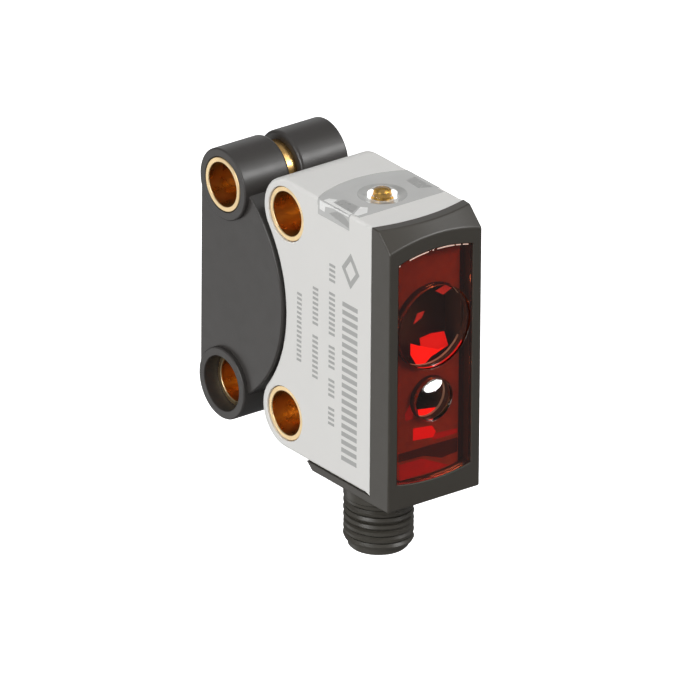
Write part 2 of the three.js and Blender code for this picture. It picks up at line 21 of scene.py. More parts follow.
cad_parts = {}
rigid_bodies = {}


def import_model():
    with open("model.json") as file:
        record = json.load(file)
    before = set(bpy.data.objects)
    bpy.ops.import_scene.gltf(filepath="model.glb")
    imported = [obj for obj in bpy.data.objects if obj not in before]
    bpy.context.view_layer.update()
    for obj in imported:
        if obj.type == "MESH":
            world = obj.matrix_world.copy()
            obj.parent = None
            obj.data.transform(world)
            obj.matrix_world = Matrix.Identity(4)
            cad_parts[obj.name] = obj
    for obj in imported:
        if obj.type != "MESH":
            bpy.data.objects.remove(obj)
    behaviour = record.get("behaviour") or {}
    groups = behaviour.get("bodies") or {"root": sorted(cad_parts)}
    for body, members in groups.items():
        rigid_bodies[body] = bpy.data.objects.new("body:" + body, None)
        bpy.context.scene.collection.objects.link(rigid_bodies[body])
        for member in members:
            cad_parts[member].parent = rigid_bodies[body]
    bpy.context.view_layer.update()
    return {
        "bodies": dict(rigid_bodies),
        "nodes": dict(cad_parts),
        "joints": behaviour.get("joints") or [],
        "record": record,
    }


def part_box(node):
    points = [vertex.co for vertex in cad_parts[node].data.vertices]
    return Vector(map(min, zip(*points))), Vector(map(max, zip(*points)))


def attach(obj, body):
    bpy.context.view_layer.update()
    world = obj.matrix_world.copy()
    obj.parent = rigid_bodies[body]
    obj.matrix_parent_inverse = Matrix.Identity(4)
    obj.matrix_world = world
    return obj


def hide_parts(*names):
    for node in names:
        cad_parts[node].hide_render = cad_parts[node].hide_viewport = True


LOG = logging.getLogger("sensor")
PER_METRE = 1000.0
FINE = 128  # sides of a visible round
SMALL = 48  # sides of a small round
SEAM = 0.02  # gap that shows as a parting line between two pieces
PAST = 1.0  # how far a cutter runs past the face it opens
PARTING = 2.14  # how far back the case meets the front moulding

Point = tuple[float, float]
Place = tuple[float, float, float]


class Axis(Enum):
    """The direction that a prism or a turned shape runs along."""

    X = 0
    Y = 1
    Z = 2


class Body(Enum):
    """The frame's bodies, each of which moves as one."""

    SENSOR = "sensor"
    BUTTON = "button"
    ADAPTER = "adapter"


# ------------------------------------------------------------------------------- layout
@dataclass(frozen=True)
class Span:
    """A node's box in the sensor's layout, in millimetres."""

    low: Vector
    high: Vector

    @property
    def centre(self) -> Vector:
        """Returns the middle of the box."""
        return (self.low + self.high) / 2

    @property
    def size(self) -> Vector:
        """Returns the box's three lengths."""
        return self.high - self.low


class Layout:
    """Turns the frame's boxes into the sensor's layout and back."""

    origin = Vector((0.0, 0.0, 0.0))

    @classmethod
    def settle(cls) -> None:
        """Sets the layout's origin from the housing and the front frame."""
        housing = [corner * PER_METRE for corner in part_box("housing")]
        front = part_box("front_frame")[0] * PER_METRE
        cls.origin = Vector(((housing[0].x + housing[1].x) / 2, front.y, front.z))

    @classmethod
    def span(cls, node: str) -> Span:
        """Reads a node's box.

        Args:
            node: the name of a node in the frame.

        Returns:
            The box in the sensor's layout.
        """
        low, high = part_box(node)
        return Span(low * PER_METRE - cls.origin, high * PER_METRE - cls.origin)

    @classmethod
    def to_frame(cls) -> Matrix:
        """Returns the matrix that carries the layout's millimetres to the frame's metres."""
        return Matrix.Scale(1 / PER_METRE, 4) @ Matrix.Translation(cls.origin)


# ----------------------------------------------------------------------------- outlines
def arc(centre: Point, radius: float, start: float, end: float, steps: int = 32) -> list[Point]:
    """Lists points along a circular arc.

    Args:
        centre: the arc's centre.
        radius: its radius.
        start: the first angle, in degrees.
        end: the last angle, in degrees.
        steps: the number of equal steps between them.

    Returns:
        The points, both ends included.
    """
    points = []
    for i in range(steps + 1):
        angle = math.radians(start + (end - start) * i / steps)
        points.append((centre[0] + radius * math.cos(angle), centre[1] + radius * math.sin(angle)))
    return points


def bow(half: float, rise: float, level: float, steps: int = 32) -> list[Point]:
    """Lists points along a shallow bow that rises by rise from the level of its ends."""
    radius = (half**2 + rise**2) / (2 * abs(rise))
    sign = math.copysign(1.0, rise)
    points = []
    for i in range(steps + 1):
        across = -half + 2 * half * i / steps
        points.append((across, level + rise - sign * (radius - math.sqrt(radius**2 - across**2))))
    return points


def dome(rim: float, rise: float, level: float, steps: int = 12) -> list[Point]:
    """Lists (radius, height) points over a dome, from its rim to its top on the axis."""
    radius = (rim**2 + rise**2) / (2 * abs(rise))
    sign = math.copysign(1.0, rise)
    sweep = math.asin(rim / radius)
    points = []
    for i in range(steps + 1):
        angle = sweep * (1 - i / steps)
        height = level + rise - sign * radius * (1 - math.cos(angle))
        points.append((radius * math.sin(angle), height))
    points[-1] = (0.0, points[-1][1])
    return points


def inset(outline: Sequence[Point], widths: Sequence[float]) -> list[Point]:
    """Moves each point of an outline inwards by its own width.

    Args:
        outline: the points of a closed outline.
        widths: how far each point moves in from the lines that meet there.

    Returns:
        The moved points, in the same order.
    """
    pairs = list(zip(outline, [*outline[1:], outline[0]]))
    turn = math.copysign(1.0, sum(a[0] * b[1] - b[0] * a[1] for a, b in pairs))
    moved = []
    for i, (point, after) in enumerate(pairs):
        before = Vector(point) - Vector(outline[i - 1])
        ahead = Vector(after) - Vector(point)
        sides = [Vector((-way.y, way.x)).normalized() * turn for way in (before, ahead)]
        inwards = (sides[0] + sides[1]).normalized()
        place = Vector(point) + inwards * widths[i] / max(inwards.dot(sides[0]), 0.5)
        moved.append((place.x, place.y))
    return moved


def softened(outline: Sequence[Point], radii: Sequence[float], steps: int = 4) -> list[Point]:
    """Rounds the corners of an outline.

    Args:
        outline: the points of a closed outline.
        radii: how far from each corner its round starts, nought for a sharp one.
        steps: the number of steps round a corner.

    Returns:
        The outline with its rounds.
    """
    points = []
    for i, (corner, reach) in enumerate(zip(outline, radii)):
        if not reach:
            points.append(corner)
            continue
        tip = Vector(corner)
        start = tip + (Vector(outline[i - 1]) - tip).normalized() * reach
        end = tip + (Vector(outline[(i + 1) % len(outline)]) - tip).normalized() * reach
        for k in range(steps + 1):
            t = k / steps
            place = start * (1 - t) ** 2 + tip * 2 * t * (1 - t) + end * t**2
            points.append((place.x, place.y))
    return points


def flare(radius: float, face: float, reach: float, side: int, steps: int = 5) -> list[Point]:
    """Lists (radius, along) points of a hole's rounded mouth, from inside it outwards.

    Args:
        radius: the hole's radius.
        face: where the face that it opens in lies along the axis.
        reach: the radius of the round.
        side: 1 if the hole opens towards higher values, -1 if towards lower ones.
        steps: the number of steps round.

    Returns:
        The points.
    """
    points = []
    for k in range(steps + 1):
        angle = math.pi / 2 * k / steps
        points.append(
            (radius + reach * (1 - math.cos(angle)), face - side * reach * (1 - math.sin(angle)))
        )
    return points


# -------------------------------------------------------------------------------- blanks
class Blank:
    """A closed mesh in millimetres that is cut, joined and rounded before it is dressed."""

    def __init__(self, mesh: bpy.types.Mesh) -> None:
        """Takes over a closed mesh."""
        self.mesh = mesh

    @classmethod
    def from_bmesh(cls, bm: bmesh.types.BMesh) -> "Blank":
        """Closes a bmesh's normals outwards and makes a blank of it."""
        bmesh.ops.remove_doubles(bm, verts=bm.verts, dist=1e-5)
        bmesh.ops.recalc_face_normals(bm, faces=bm.faces)
        mesh = bpy.data.meshes.new("blank")
        bm.to_mesh(mesh)
        bm.free()
        return cls(mesh)

    @classmethod
    def prism(cls, axis: Axis, outline: Sequence[Point], low: float, high: float) -> "Blank":
        """Runs an outline along an axis.

        Args:
            axis: the direction it runs in.
            outline: its points in the other two axes, in the order X, Y, Z.
            low: where it starts.
            high: where it ends.

        Returns:
            The closed prism.
        """
        return cls.loft(axis, [[(a, b, level) for a, b in outline] for level in (low, high)])

    @classmethod
    def loft(cls, axis: Axis, layers: Sequence[Sequence[Place]]) -> "Blank":
        """Skins a row of outlines that stand one behind the other.

        Args:
            axis: the direction that the row runs in.
            layers: outlines of equal length, each point with its level as the third value.

        Returns:
            The closed shape.
        """
        bm = bmesh.new()
        loops = []
        for layer in layers:
            loop = []
            for a, b, level in layer:
                place = [a, b]
                place.insert(axis.value, level)
                loop.append(bm.verts.new(place))
            loops.append(loop)
        bm.faces.new(loops[0])
        bm.faces.new(loops[-1])
        for one, two in zip(loops, loops[1:]):
            for i in range(len(one)):
                j = (i + 1) % len(one)
                bm.faces.new((one[i], one[j], two[j], two[i]))
        return cls.from_bmesh(bm)

    @classmethod
    def rounded_prism(
        cls, axis: Axis, outline: Sequence[Point], low: float, high: float,
        widths: Sequence[float], steps: int = 5,
    ) -> "Blank":
        """Runs an outline along an axis, with the edges of both end faces rounded.

        Args:
            axis: the direction it runs in.
            outline: its points in the other two axes, in the order X, Y, Z.
            low: where it starts.
            high: where it ends.
            widths: the radius of the round at each point.
            steps: the number of steps round an edge.

        Returns:
            The closed prism.
        """
        layers = []
        for face, side in ((low, 1), (high, -1)):
            end = []
            for k in range(steps + 1):
                angle = math.pi / 2 * (1 - k / steps)
                points = inset(outline, [width * (1 - math.cos(angle)) for width in widths])
                end.append([
                    (a, b, face + side * width * (1 - math.sin(angle)))
                    for (a, b), width in zip(points, widths)
                ])
            layers += end if side > 0 else reversed(end)
        return cls.loft(axis, layers)

    @classmethod
    def flared(
        cls, axis: Axis, outline: Sequence[Point], face: float, deep: float, reach: float
    ) -> "Blank":
        """Makes a cutter that opens an outline in a face and rounds the edge round it.

        Args:
            axis: the direction it cuts in.
            outline: the opening's outline.
            face: where the face lies.
            deep: where the cutter ends.
            reach: the radius of the round.

        Returns:
            The cutter.
        """
        side = math.copysign(1.0, deep - face)
        layers = [[(a, b, face - side * PAST) for a, b in inset(outline, [-reach] * len(outline))]]
        for width, level in reversed(flare(0.0, 0.0, reach, -1)):
            points = inset(outline, [-width] * len(outline))
            layers.append([(a, b, face + side * level) for a, b in points])
        layers.append([(a, b, deep) for a, b in outline])
        return cls.loft(axis, layers)

    @classmethod
    def bore(
        cls, axis: Axis, centre: Point, radius: float, low: float, high: float, reach: float
    ) -> "Blank":
        """Makes a cutter for a round hole between two faces, with both mouths rounded."""
        profile = [
            (0.0, low - PAST), (radius + reach, low - PAST),
            *reversed(flare(radius, low, reach, -1)), *flare(radius, high, reach, 1),
            (radius + reach, high + PAST), (0.0, high + PAST),
        ]
        return cls.turned(axis, centre, profile)

    @classmethod
    def block(cls, low: Place, high: Place) -> "Blank":
        """Makes a rectangular block between two corners."""
        outline = [(low[0], low[1]), (high[0], low[1]), (high[0], high[1]), (low[0], high[1])]
        return cls.prism(Axis.Z, outline, low[2], high[2])

    @classmethod
    def turned(
        cls, axis: Axis, centre: Point, profile: Sequence[Point], sides: int = FINE
    ) -> "Blank":
        """Turns a profile about an axis.

        Args:
            axis: the direction of the axis.
            centre: where the axis crosses the other two axes, in the order X, Y, Z.
            profile: (radius, along) points, a ring if none of them lies on the axis.
            sides: the number of steps round the axis.

        Returns:
            The closed turned shape.
        """
        bm = bmesh.new()
        rings = []
        for radius, along in profile:
            count = 1 if radius == 0 else sides
            ring = []
            for i in range(count):
                angle = 2 * math.pi * (i + 0.5) / sides
                place = [centre[0] + radius * math.cos(angle), centre[1] + radius * math.sin(angle)]
                place.insert(axis.value, along)
                ring.append(bm.verts.new(place))
            rings.append(ring)
        is_ring = all(radius > 0 for radius, _ in profile)
        pairs = list(zip(rings, rings[1:] + rings[:1] if is_ring else rings[1:]))
        for one, two in pairs:
            for i in range(sides):
                j = (i + 1) % sides
                turns = ((one, i), (one, j), (two, j), (two, i))
                corners = list(dict.fromkeys(ring[step % len(ring)] for ring, step in turns))
                if len(corners) > 2:
                    bm.faces.new(corners)
        return cls.from_bmesh(bm)

    @classmethod
    def rod(
        cls, axis: Axis, centre: Point, radius: float, low: float, high: float, sides: int = FINE
    ) -> "Blank":
        """Makes a plain round rod."""
        return cls.turned(axis, centre, [(0, low), (radius, low), (radius, high), (0, high)], sides)

    def changed(self, build: Callable[[bpy.types.Object], None]) -> "Blank":
        """Applies modifiers to the blank.

        Args:
            build: adds the modifiers to the object that it is given.

        Returns:
            The blank, with the modifiers' result as its mesh.
        """
        holder = bpy.data.objects.new("holder", self.mesh)
        bpy.context.scene.collection.objects.link(holder)
        build(holder)
        bpy.context.view_layer.update()
        ready = holder.evaluated_get(bpy.context.evaluated_depsgraph_get())
        self.mesh = bpy.data.meshes.new_from_object(ready)
        bpy.data.objects.remove(holder)
        return self

    def _combined(self, tools: Sequence["Blank"], operation: str) -> "Blank":
        """Runs one exact boolean for each tool."""
        for tool in tools:
            other = bpy.data.objects.new("tool", tool.mesh)
            bpy.context.scene.collection.objects.link(other)

            def add_boolean(holder: bpy.types.Object) -> None:
                modifier = holder.modifiers.new("boolean", "BOOLEAN")
                modifier.operation = operation
                modifier.solver = "EXACT"
                modifier.object = other

            self.changed(add_boolean)
            bpy.data.objects.remove(other)
        return self

    def cut(self, *tools: "Blank") -> "Blank":
        """Takes the tools away from the blank."""
        return self._combined(tools, "DIFFERENCE")

    def join(self, *tools: "Blank") -> "Blank":
        """Adds the tools to the blank."""
        return self._combined(tools, "UNION")

    def keep(self, *tools: "Blank") -> "Blank":
        """Keeps what lies inside each of the tools."""
        return self._combined(tools, "INTERSECT")

    def smooth(self, angle: float = 35.0) -> "Blank":
        """Shades the blank smooth but for edges sharper than angle, in degrees."""
        self.mesh.shade_smooth()
        self.mesh.set_sharp_from_angle(angle=math.radians(angle))

        def add_normals(holder: bpy.types.Object) -> None:
            modifier = holder.modifiers.new("normals", "WEIGHTED_NORMAL")
            modifier.keep_sharp = True
            modifier.weight = 90

        return self.changed(add_normals)


@dataclass(frozen=True)
class Piece:
    """What a finished piece is called, what it stands for and how it moves."""

    name: str
    body: Body
    slot: str
    replaces: tuple[str, ...] = ()

    def place(self, mesh: bpy.types.Mesh, finish: "Finish") -> bpy.types.Object:
        """Makes the finished object from a mesh in the layout's millimetres.

        Args:
            mesh: the piece's closed mesh.
            finish: the finish that it is given.

        Returns:
            The object, riding on its body.
        """
        mesh.transform(Layout.to_frame())
        mesh.name = self.name
        mesh.materials.clear()
        mesh.materials.append(finish.material())
        piece = bpy.data.objects.new(self.name, mesh)
        bpy.context.scene.collection.objects.link(piece)
        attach(piece, self.body.value)
        if self.replaces:
            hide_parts(*self.replaces)
        LOG.info("%s: %d faces on %s", self.name, len(mesh.polygons), self.body.value)
        return piece


# ------------------------------------------------------------------------------ finishes
def linear(code: str) -> tuple[float, float, float, float]:
    """Turns an sRGB hex code, such as #dcdbd9, to a linear colour."""
    shares = [int(code[i : i + 2], 16) / 255 for i in (1, 3, 5)]
    red, green, blue = (
        share / 12.92 if share <= 0.04045 else ((share + 0.055) / 1.055) ** 2.4 for share in shares
    )
    return red, green, blue, 1.0


def add_node(
    tree: bpy.types.NodeTree, kind: str, inputs: dict | None = None, **settings: object
) -> bpy.types.Node:
    """Adds a node with its settings and links.

    Args:
        tree: the tree that it joins.
        kind: the node's type.
        inputs: a value, or a socket to link, for each of its inputs by name or number.
        settings: the node's own properties.

    Returns:
        The node.
    """
    node = tree.nodes.new(kind)
    for key, value in settings.items():
        setattr(node, key, value)
    for key, value in (inputs or {}).items():
        if isinstance(value, bpy.types.NodeSocket):
            tree.links.new(value, node.inputs[key])
        else:
            node.inputs[key].default_value = value
    return node


def per_mm(size: float) -> float:
    """Returns the texture scale that gives a pattern this size, in millimetres."""
    return PER_METRE / size


@dataclass(frozen=True)
class Finish:
    """A surface as it was made: its colour, gloss and grain."""

    name: str
    colour: str
    shade: str
    roughness: float = 0.5
    metallic: float = 0.0
    ior: float = 1.5
    grain: float = 0.12
    depth: float = 0.004
    patch: float = 3.0
    spread: float = 0.08

    def material(self) -> bpy.types.Material:
        """Returns the finish's material, built the first time that it is asked for."""
        ready = bpy.data.materials.get(self.name)
        if ready:
            return ready
        made = bpy.data.materials.new(self.name)
        made.use_nodes = True
        tree = made.node_tree
        tree.nodes.clear()
        shader = add_node(tree, "ShaderNodeBsdfPrincipled")
        add_node(tree, "ShaderNodeOutputMaterial", {"Surface": shader.outputs["BSDF"]})
        shader.inputs["Metallic"].default_value = self.metallic
        shader.inputs["IOR"].default_value = self.ior
        shader.inputs["Roughness"].default_value = self.roughness
        place = add_node(tree, "ShaderNodeTexCoord").outputs["Object"]
        self.dress(tree, shader, place)
        return made

    def dress(
        self, tree: bpy.types.NodeTree, shader: bpy.types.Node, place: bpy.types.NodeSocket
    ) -> None:
        """Adds the finish's patterns to its shader.

        Args:
            tree: the material's tree.
            shader: its principled shader.
            place: the object coordinates.
        """
        self.tint(tree, shader, place)
        self.roughen(tree, shader, place)
        self.emboss(tree, shader, place)

    def tint(
        self, tree: bpy.types.NodeTree, shader: bpy.types.Node, place: bpy.types.NodeSocket
    ) -> None:
        """Wanders the colour softly between the finish's two shades."""
        cloud = add_node(
            tree, "ShaderNodeTexNoise",
            {"Vector": place, "Scale": per_mm(self.patch), "Detail": 3.0},
        )
        mix = add_node(
            tree, "ShaderNodeMix",
            {0: cloud.outputs[0], 6: linear(self.colour), 7: linear(self.shade)}, data_type="RGBA",
        )
        tree.links.new(mix.outputs[2], shader.inputs["Base Color"])

    def roughen(
        self, tree: bpy.types.NodeTree, shader: bpy.types.Node, place: bpy.types.NodeSocket
    ) -> None:
        """Lets the gloss vary a little over the surface."""
        cloud = add_node(
            tree, "ShaderNodeTexNoise",
            {"Vector": place, "Scale": per_mm(self.patch / 3), "Detail": 4.0},
        )
        level = add_node(
            tree, "ShaderNodeMapRange",
            {0: cloud.outputs[0], 1: 0.3, 2: 0.7, 3: max(self.roughness - self.spread, 0.02),
             4: min(self.roughness + self.spread, 1.0)},
        )
        tree.links.new(level.outputs[0], shader.inputs["Roughness"])

    def emboss(
        self, tree: bpy.types.NodeTree, shader: bpy.types.Node, place: bpy.types.NodeSocket
    ) -> None:
        """Raises the fine grain that a mould or a tool leaves, depth in millimetres."""
        grain = add_node(
            tree, "ShaderNodeTexNoise",
            {"Vector": place, "Scale": per_mm(self.grain), "Detail": 2.0, "Roughness": 0.6},
        )
        bump = add_node(
            tree, "ShaderNodeBump",
            {"Height": grain.outputs[0], "Distance": self.depth / PER_METRE, "Strength": 1.0},
        )
        tree.links.new(bump.outputs[0], shader.inputs["Normal"])


@dataclass(frozen=True)
class ClearFinish(Finish):
    """A clear or tinted moulding that light passes through."""

    passes: float = 1.0
    alpha: float = 1.0

    def dress(
        self, tree: bpy.types.NodeTree, shader: bpy.types.Node, place: bpy.types.NodeSocket
    ) -> None:
        """Lets light through and keeps the surface polished, with a faint flow ripple."""
        shader.inputs["Transmission Weight"].default_value = self.passes
        shader.inputs["Alpha"].default_value = self.alpha
        self.tint(tree, shader, place)
        self.emboss(tree, shader, place)


@dataclass(frozen=True)
class LitFinish(Finish):
    """A surface that sends out light of its own, though it is no lamp: here the painted glows and
    painted highlights.
    """

    strength: float = 1.0

    def dress(
        self, tree: bpy.types.NodeTree, shader: bpy.types.Node, place: bpy.types.NodeSocket
    ) -> None:
        """Adds a glow that wanders with the colour."""
        self.tint(tree, shader, place)
        colour = shader.inputs["Base Color"].links[0].from_socket
        tree.links.new(colour, shader.inputs["Emission Color"])
        shader.inputs["Emission Strength"].default_value = self.strength


@dataclass(frozen=True)
class TurnedFinish(Finish):
    """Metal with the fine rings that a lathe leaves about an axis along X."""

    pitch: float = 0.09
    faced: str = "#f2d6a6"

    def tint(
        self, tree: bpy.types.NodeTree, shader: bpy.types.Node, place: bpy.types.NodeSocket
    ) -> None:
        """Adds the paler, freshly faced ends to the wandering colour."""
        super().tint(tree, shader, place)
        colour = shader.inputs["Base Color"].links[0].from_socket
        facing = add_node(
            tree, "ShaderNodeSeparateXYZ",
            {0: add_node(tree, "ShaderNodeTexCoord").outputs["Normal"]},
        )
        flat = add_node(tree, "ShaderNodeMath", {0: facing.outputs[0]}, operation="ABSOLUTE")
        share = add_node(
            tree, "ShaderNodeMapRange", {0: flat.outputs[0], 1: 0.45, 2: 0.75, 3: 0.0, 4: 1.0}
        )
        mix = add_node(
            tree, "ShaderNodeMix", {0: share.outputs[0], 6: colour, 7: linear(self.faced)},
            data_type="RGBA",
        )
        tree.links.new(mix.outputs[2], shader.inputs["Base Color"])

    def emboss(
        self, tree: bpy.types.NodeTree, shader: bpy.types.Node, place: bpy.types.NodeSocket
    ) -> None:
        """Raises shallow tool rings across the axis."""
        rings = add_node(
            tree, "ShaderNodeTexWave",
            {"Vector": place, "Scale": per_mm(self.pitch * 20 / (2 * math.pi)), "Distortion": 1.5,
             "Detail": 1.0},
            bands_direction="X",
        )
        bump = add_node(
            tree, "ShaderNodeBump",
            {"Height": rings.outputs[1], "Distance": self.depth / PER_METRE, "Strength": 0.6},
        )
        tree.links.new(bump.outputs[0], shader.inputs["Normal"])


class Finishes:
    """The sensor's finishes, each named for what the real surface is."""

    # ABS moulded in a lightly spark-eroded tool: an even, satin light grey.
    housing_abs = Finish(
        "satin_grey_abs", "#e8e7e4", "#e4e3e0", roughness=0.45, grain=0.10, depth=0.0015
    )
    print_grey = Finish(
        "pad_print_grey", "#b4b4b2", "#aeaeac", roughness=0.5, grain=0.05, depth=0.001
    )
    # The same mould texture in warm black nylon: it greys where it faces the light.
    frame_pa = Finish(
        "satin_black_polyamide", "#3d3a34", "#423e38", roughness=0.36, grain=0.10, depth=0.002,
        spread=0.02,
    )
    adapter_pa = Finish(
        "charcoal_glass_filled_nylon", "#383634", "#3e3b39", roughness=0.36, grain=0.14,
        depth=0.003, spread=0.02,
    )
    plug_pa = Finish(
        "black_threaded_nylon", "#3f3c36", "#46433c", roughness=0.40, grain=0.10, depth=0.002
    )
    # Deep red acrylic, polished: little but red passes.
    red_acrylic = ClearFinish(
        "deep_red_acrylic", "#cc5e3a", "#c05632", roughness=0.03, ior=1.49, grain=1.5, depth=0.001
    )
    # Coated against glare: the low index gives the coating's faint reflection.
    lens_pc = ClearFinish(
        "coated_lens_polycarbonate", "#f4f4f2", "#efefed", roughness=0.02, ior=1.3, grain=2.0,
        depth=0.0005,
    )
    clear_pc = ClearFinish(
        "clear_polycarbonate", "#f2f4f4", "#eceeee", roughness=0.04, ior=1.58, grain=1.5,
        depth=0.001,
    )
    # The roof's window: frosted grey; the shade and highlights seen in it are painted on flats laid
    # over it.
    smoke_pc = ClearFinish(
        "frosted_grey_polycarbonate", "#cbcbc9", "#bfbfbd", roughness=0.22, grain=0.6,
        depth=0.001, patch=1.4, passes=0.0, alpha=0.94,
    )
    # Painted shade: grey flats on the roof window where the dark cavity shows through.
    painted_shade_flat = Finish(
        "painted_shade_grey", "#a8a8a6", "#a2a2a0", roughness=0.25, patch=4.0, depth=0.001
    )
    # Painted highlight: white flats along the roof window's edges.
    painted_edge_highlight = Finish(
        "painted_white_edge_highlight", "#f4f4f2", "#eeeeec", roughness=0.25, patch=4.0, depth=0.001
    )
    smoke_dish = Finish(
        "smoked_dish", "#b0b0ae", "#a8a8a6", roughness=0.2, patch=0.8, depth=0.001
    )
    button_pc = Finish(
        "polished_grey_polycarbonate", "#d4d4d2", "#ccccca", roughness=0.1, ior=1.58, grain=1.5,
        depth=0.001, spread=0.03,
    )
    # Painted highlights: the two white glints beside the button's contact, as glowing beads.
    painted_glint_bead = LitFinish(
        "painted_white_glint", "#ffffff", "#f6f6f4", roughness=0.2, strength=0.9
    )
    # The wells behind the lenses: matt black, with the red light that strays there painted in as a
    # warm tint all over.
    optics_black = Finish(
        "matt_optics_black", "#3a1a11", "#42200f", roughness=0.9, ior=1.15, grain=0.1, depth=0.004
    )
    # The carrier behind the red pane: warm brown, speckled where the mould was rough.
    carrier_face = Finish(
        "brown_carrier_nylon", "#8c6048", "#b07c5c", roughness=0.6, grain=0.25, depth=0.006,
        patch=0.5,
    )
    # Painted shade: a dark flat laid behind the window where the carrier is in shade.
    painted_shade_patch = Finish("painted_shade_on_carrier", "#3a241c", "#452b20", roughness=0.6, patch=0.6)
    # Painted glows: flats that glow red where red light shows through the window, from the
    # brightest to the dullest.
    painted_red_glow = LitFinish(
        "painted_red_glow_facet", "#e01006", "#d00c04", roughness=0.5, ior=1.1, strength=1.1
    )
    painted_deep_red_glow = LitFinish(
        "painted_deep_red_glow_facet", "#c80e06", "#b00a04", roughness=0.5, ior=1.1, strength=0.8
    )
    painted_dull_red_glow = LitFinish(
        "painted_dull_red_glow_facet", "#a02018", "#861812", roughness=0.5, ior=1.1, strength=0.9, patch=0.6
    )
    # Painted highlight: the bright, broken line along the window's top edge, as a glowing strip.
    painted_rim_highlight = LitFinish(
        "painted_window_edge_highlight", "#e6cbbd", "#b58a78", roughness=0.3, strength=0.45, patch=0.5
    )
    brass = TurnedFinish(
        "turned_brass", "#ecc07e", "#e4b56c", roughness=0.30, metallic=1.0, depth=0.001
    )
    gold = Finish("gold_plate", "#d0a24a", "#c2933c", roughness=0.28, metallic=1.0, depth=0.001)
    steel = Finish(
        "tinned_steel", "#b9bbbd", "#a9abad", roughness=0.35, metallic=1.0, depth=0.001
    )
    board = Finish("solder_mask_green", "#1f5a36", "#194c2d", roughness=0.35, grain=0.3)
    chip = Finish("black_epoxy", "#202122", "#29292a", roughness=0.55, grain=0.08)
    ceramic = Finish("sintered_ceramic", "#b49a78", "#a58b69", roughness=0.6, grain=0.06)
    rubber = Finish(
        "nitrile_rubber", "#181818", "#202020", roughness=0.8, grain=0.08, depth=0.006
    )
    led_green = Finish("green_epoxy_lens", "#3fae4a", "#37a042", roughness=0.25)
    led_yellow = Finish("yellow_epoxy_lens", "#e3b92c", "#d8ad20", roughness=0.25)


# ------------------------------------------------------------------------------- housing
@dataclass
class Housing:
    """The light grey case with its two bosses, its saddle and the seats cut into it."""

    parting: float = PARTING
    lip_rise: float = 0.6
    roof: float = 0.8
    wall: float = 0.75
    floor: float = 1.4
    edge: float = 0.25
    lip_edge: float = 0.05
    seam_edge: float = 0.02
    tip: float = 0.05
    ease: float = 0.4
    mouth: float = 0.07

    def __post_init__(self) -> None:
        """Takes the case's size and its holes from the frame."""
        self.span = Layout.span("housing")
        self.upper = Layout.span("upper_sleeve")
        self.lower = Layout.span("lower_sleeve")
        self.hole_y = self.upper.centre.y
        self.sleeve_radius = self.upper.size.z / 2
        self.boss_radius = self.span.high.y - self.hole_y

    def outline(self) -> list[Point]:
        """Returns the side view: the roof's lip, two bosses and the saddle tangent to both."""
        half = (self.upper.centre.z - self.lower.centre.z) / 2
        saddle = (half**2 - self.boss_radius**2) / (2 * self.boss_radius)
        lean = math.degrees(math.atan2(half, saddle))
        middle = (self.upper.centre.z + self.lower.centre.z) / 2
        front, top, base = self.parting + SEAM, self.span.high.z, self.span.low.z
        tip = self.parting - self.lip_rise - self.tip
        return [
            (front + self.ease, top), (tip, top), (tip, top - self.roof),
            (front, top - self.roof), (front, base), (front + self.ease, base),
            *arc((self.hole_y, self.lower.centre.z), self.boss_radius, -90, lean, 56),
            *arc((self.hole_y + saddle, middle), saddle, 180 + lean, 180 - lean, 72)[1:-1],
            *arc((self.hole_y, self.upper.centre.z), self.boss_radius, -lean, 90, 56),
        ]

    def widths(self, outline: Sequence[Point]) -> list[float]:
        """Gives each point of the side view the radius of its edge, fine at the seams."""
        widths = [self.edge] * len(outline)
        widths[1:5] = [self.lip_edge, *[self.seam_edge] * 3]
        return widths

    def lip(self, back: float, side: float, gap: float = 0.0) -> list[Point]:
        """Returns the roof's bowed front edge in plan, closed towards the back."""
        half = self.span.high.x
        bowed = [(x, self.parting + gap - rise) for x, rise in bow(half, self.lip_rise, 0.0)]
        return [(side, back), (-side, back), (-side, bowed[0][1]), *bowed, (side, bowed[-1][1])]

    def build(self, panel: "TeachPanel") -> None:
        """Shapes and places the case.

        Args:
            panel: the status window and button, whose seat is cut into the roof.
        """
        half = self.span.high.x
        inner = half - self.wall
        top = self.span.high.z
        under = top - self.roof
        hole = self.sleeve_radius + SEAM
        back = self.hole_y - self.boss_radius - 0.2
        side_view = self.outline()
        shell = Blank.rounded_prism(Axis.X, side_view, -half, half, self.widths(side_view))
        shell.cut(
            Blank.prism(Axis.Z, self.lip(0.0, half + PAST, SEAM), under - 0.1, top + PAST),
            Blank.block((-inner, self.parting - PAST, self.floor), (inner, back, under)),
            *(
                Blank.bore(Axis.X, (self.hole_y, bored.centre.z), hole, -half, half, self.mouth)
                for bored in (self.upper, self.lower)
            ),
            *panel.seat_cutters(),
            Plug.hole(0.0, 2.0),
        )
        shell.smooth()
        Piece("case_shell", Body.SENSOR, "housing_grey", ("housing",)).place(
            shell.mesh, Finishes.housing_abs
        )


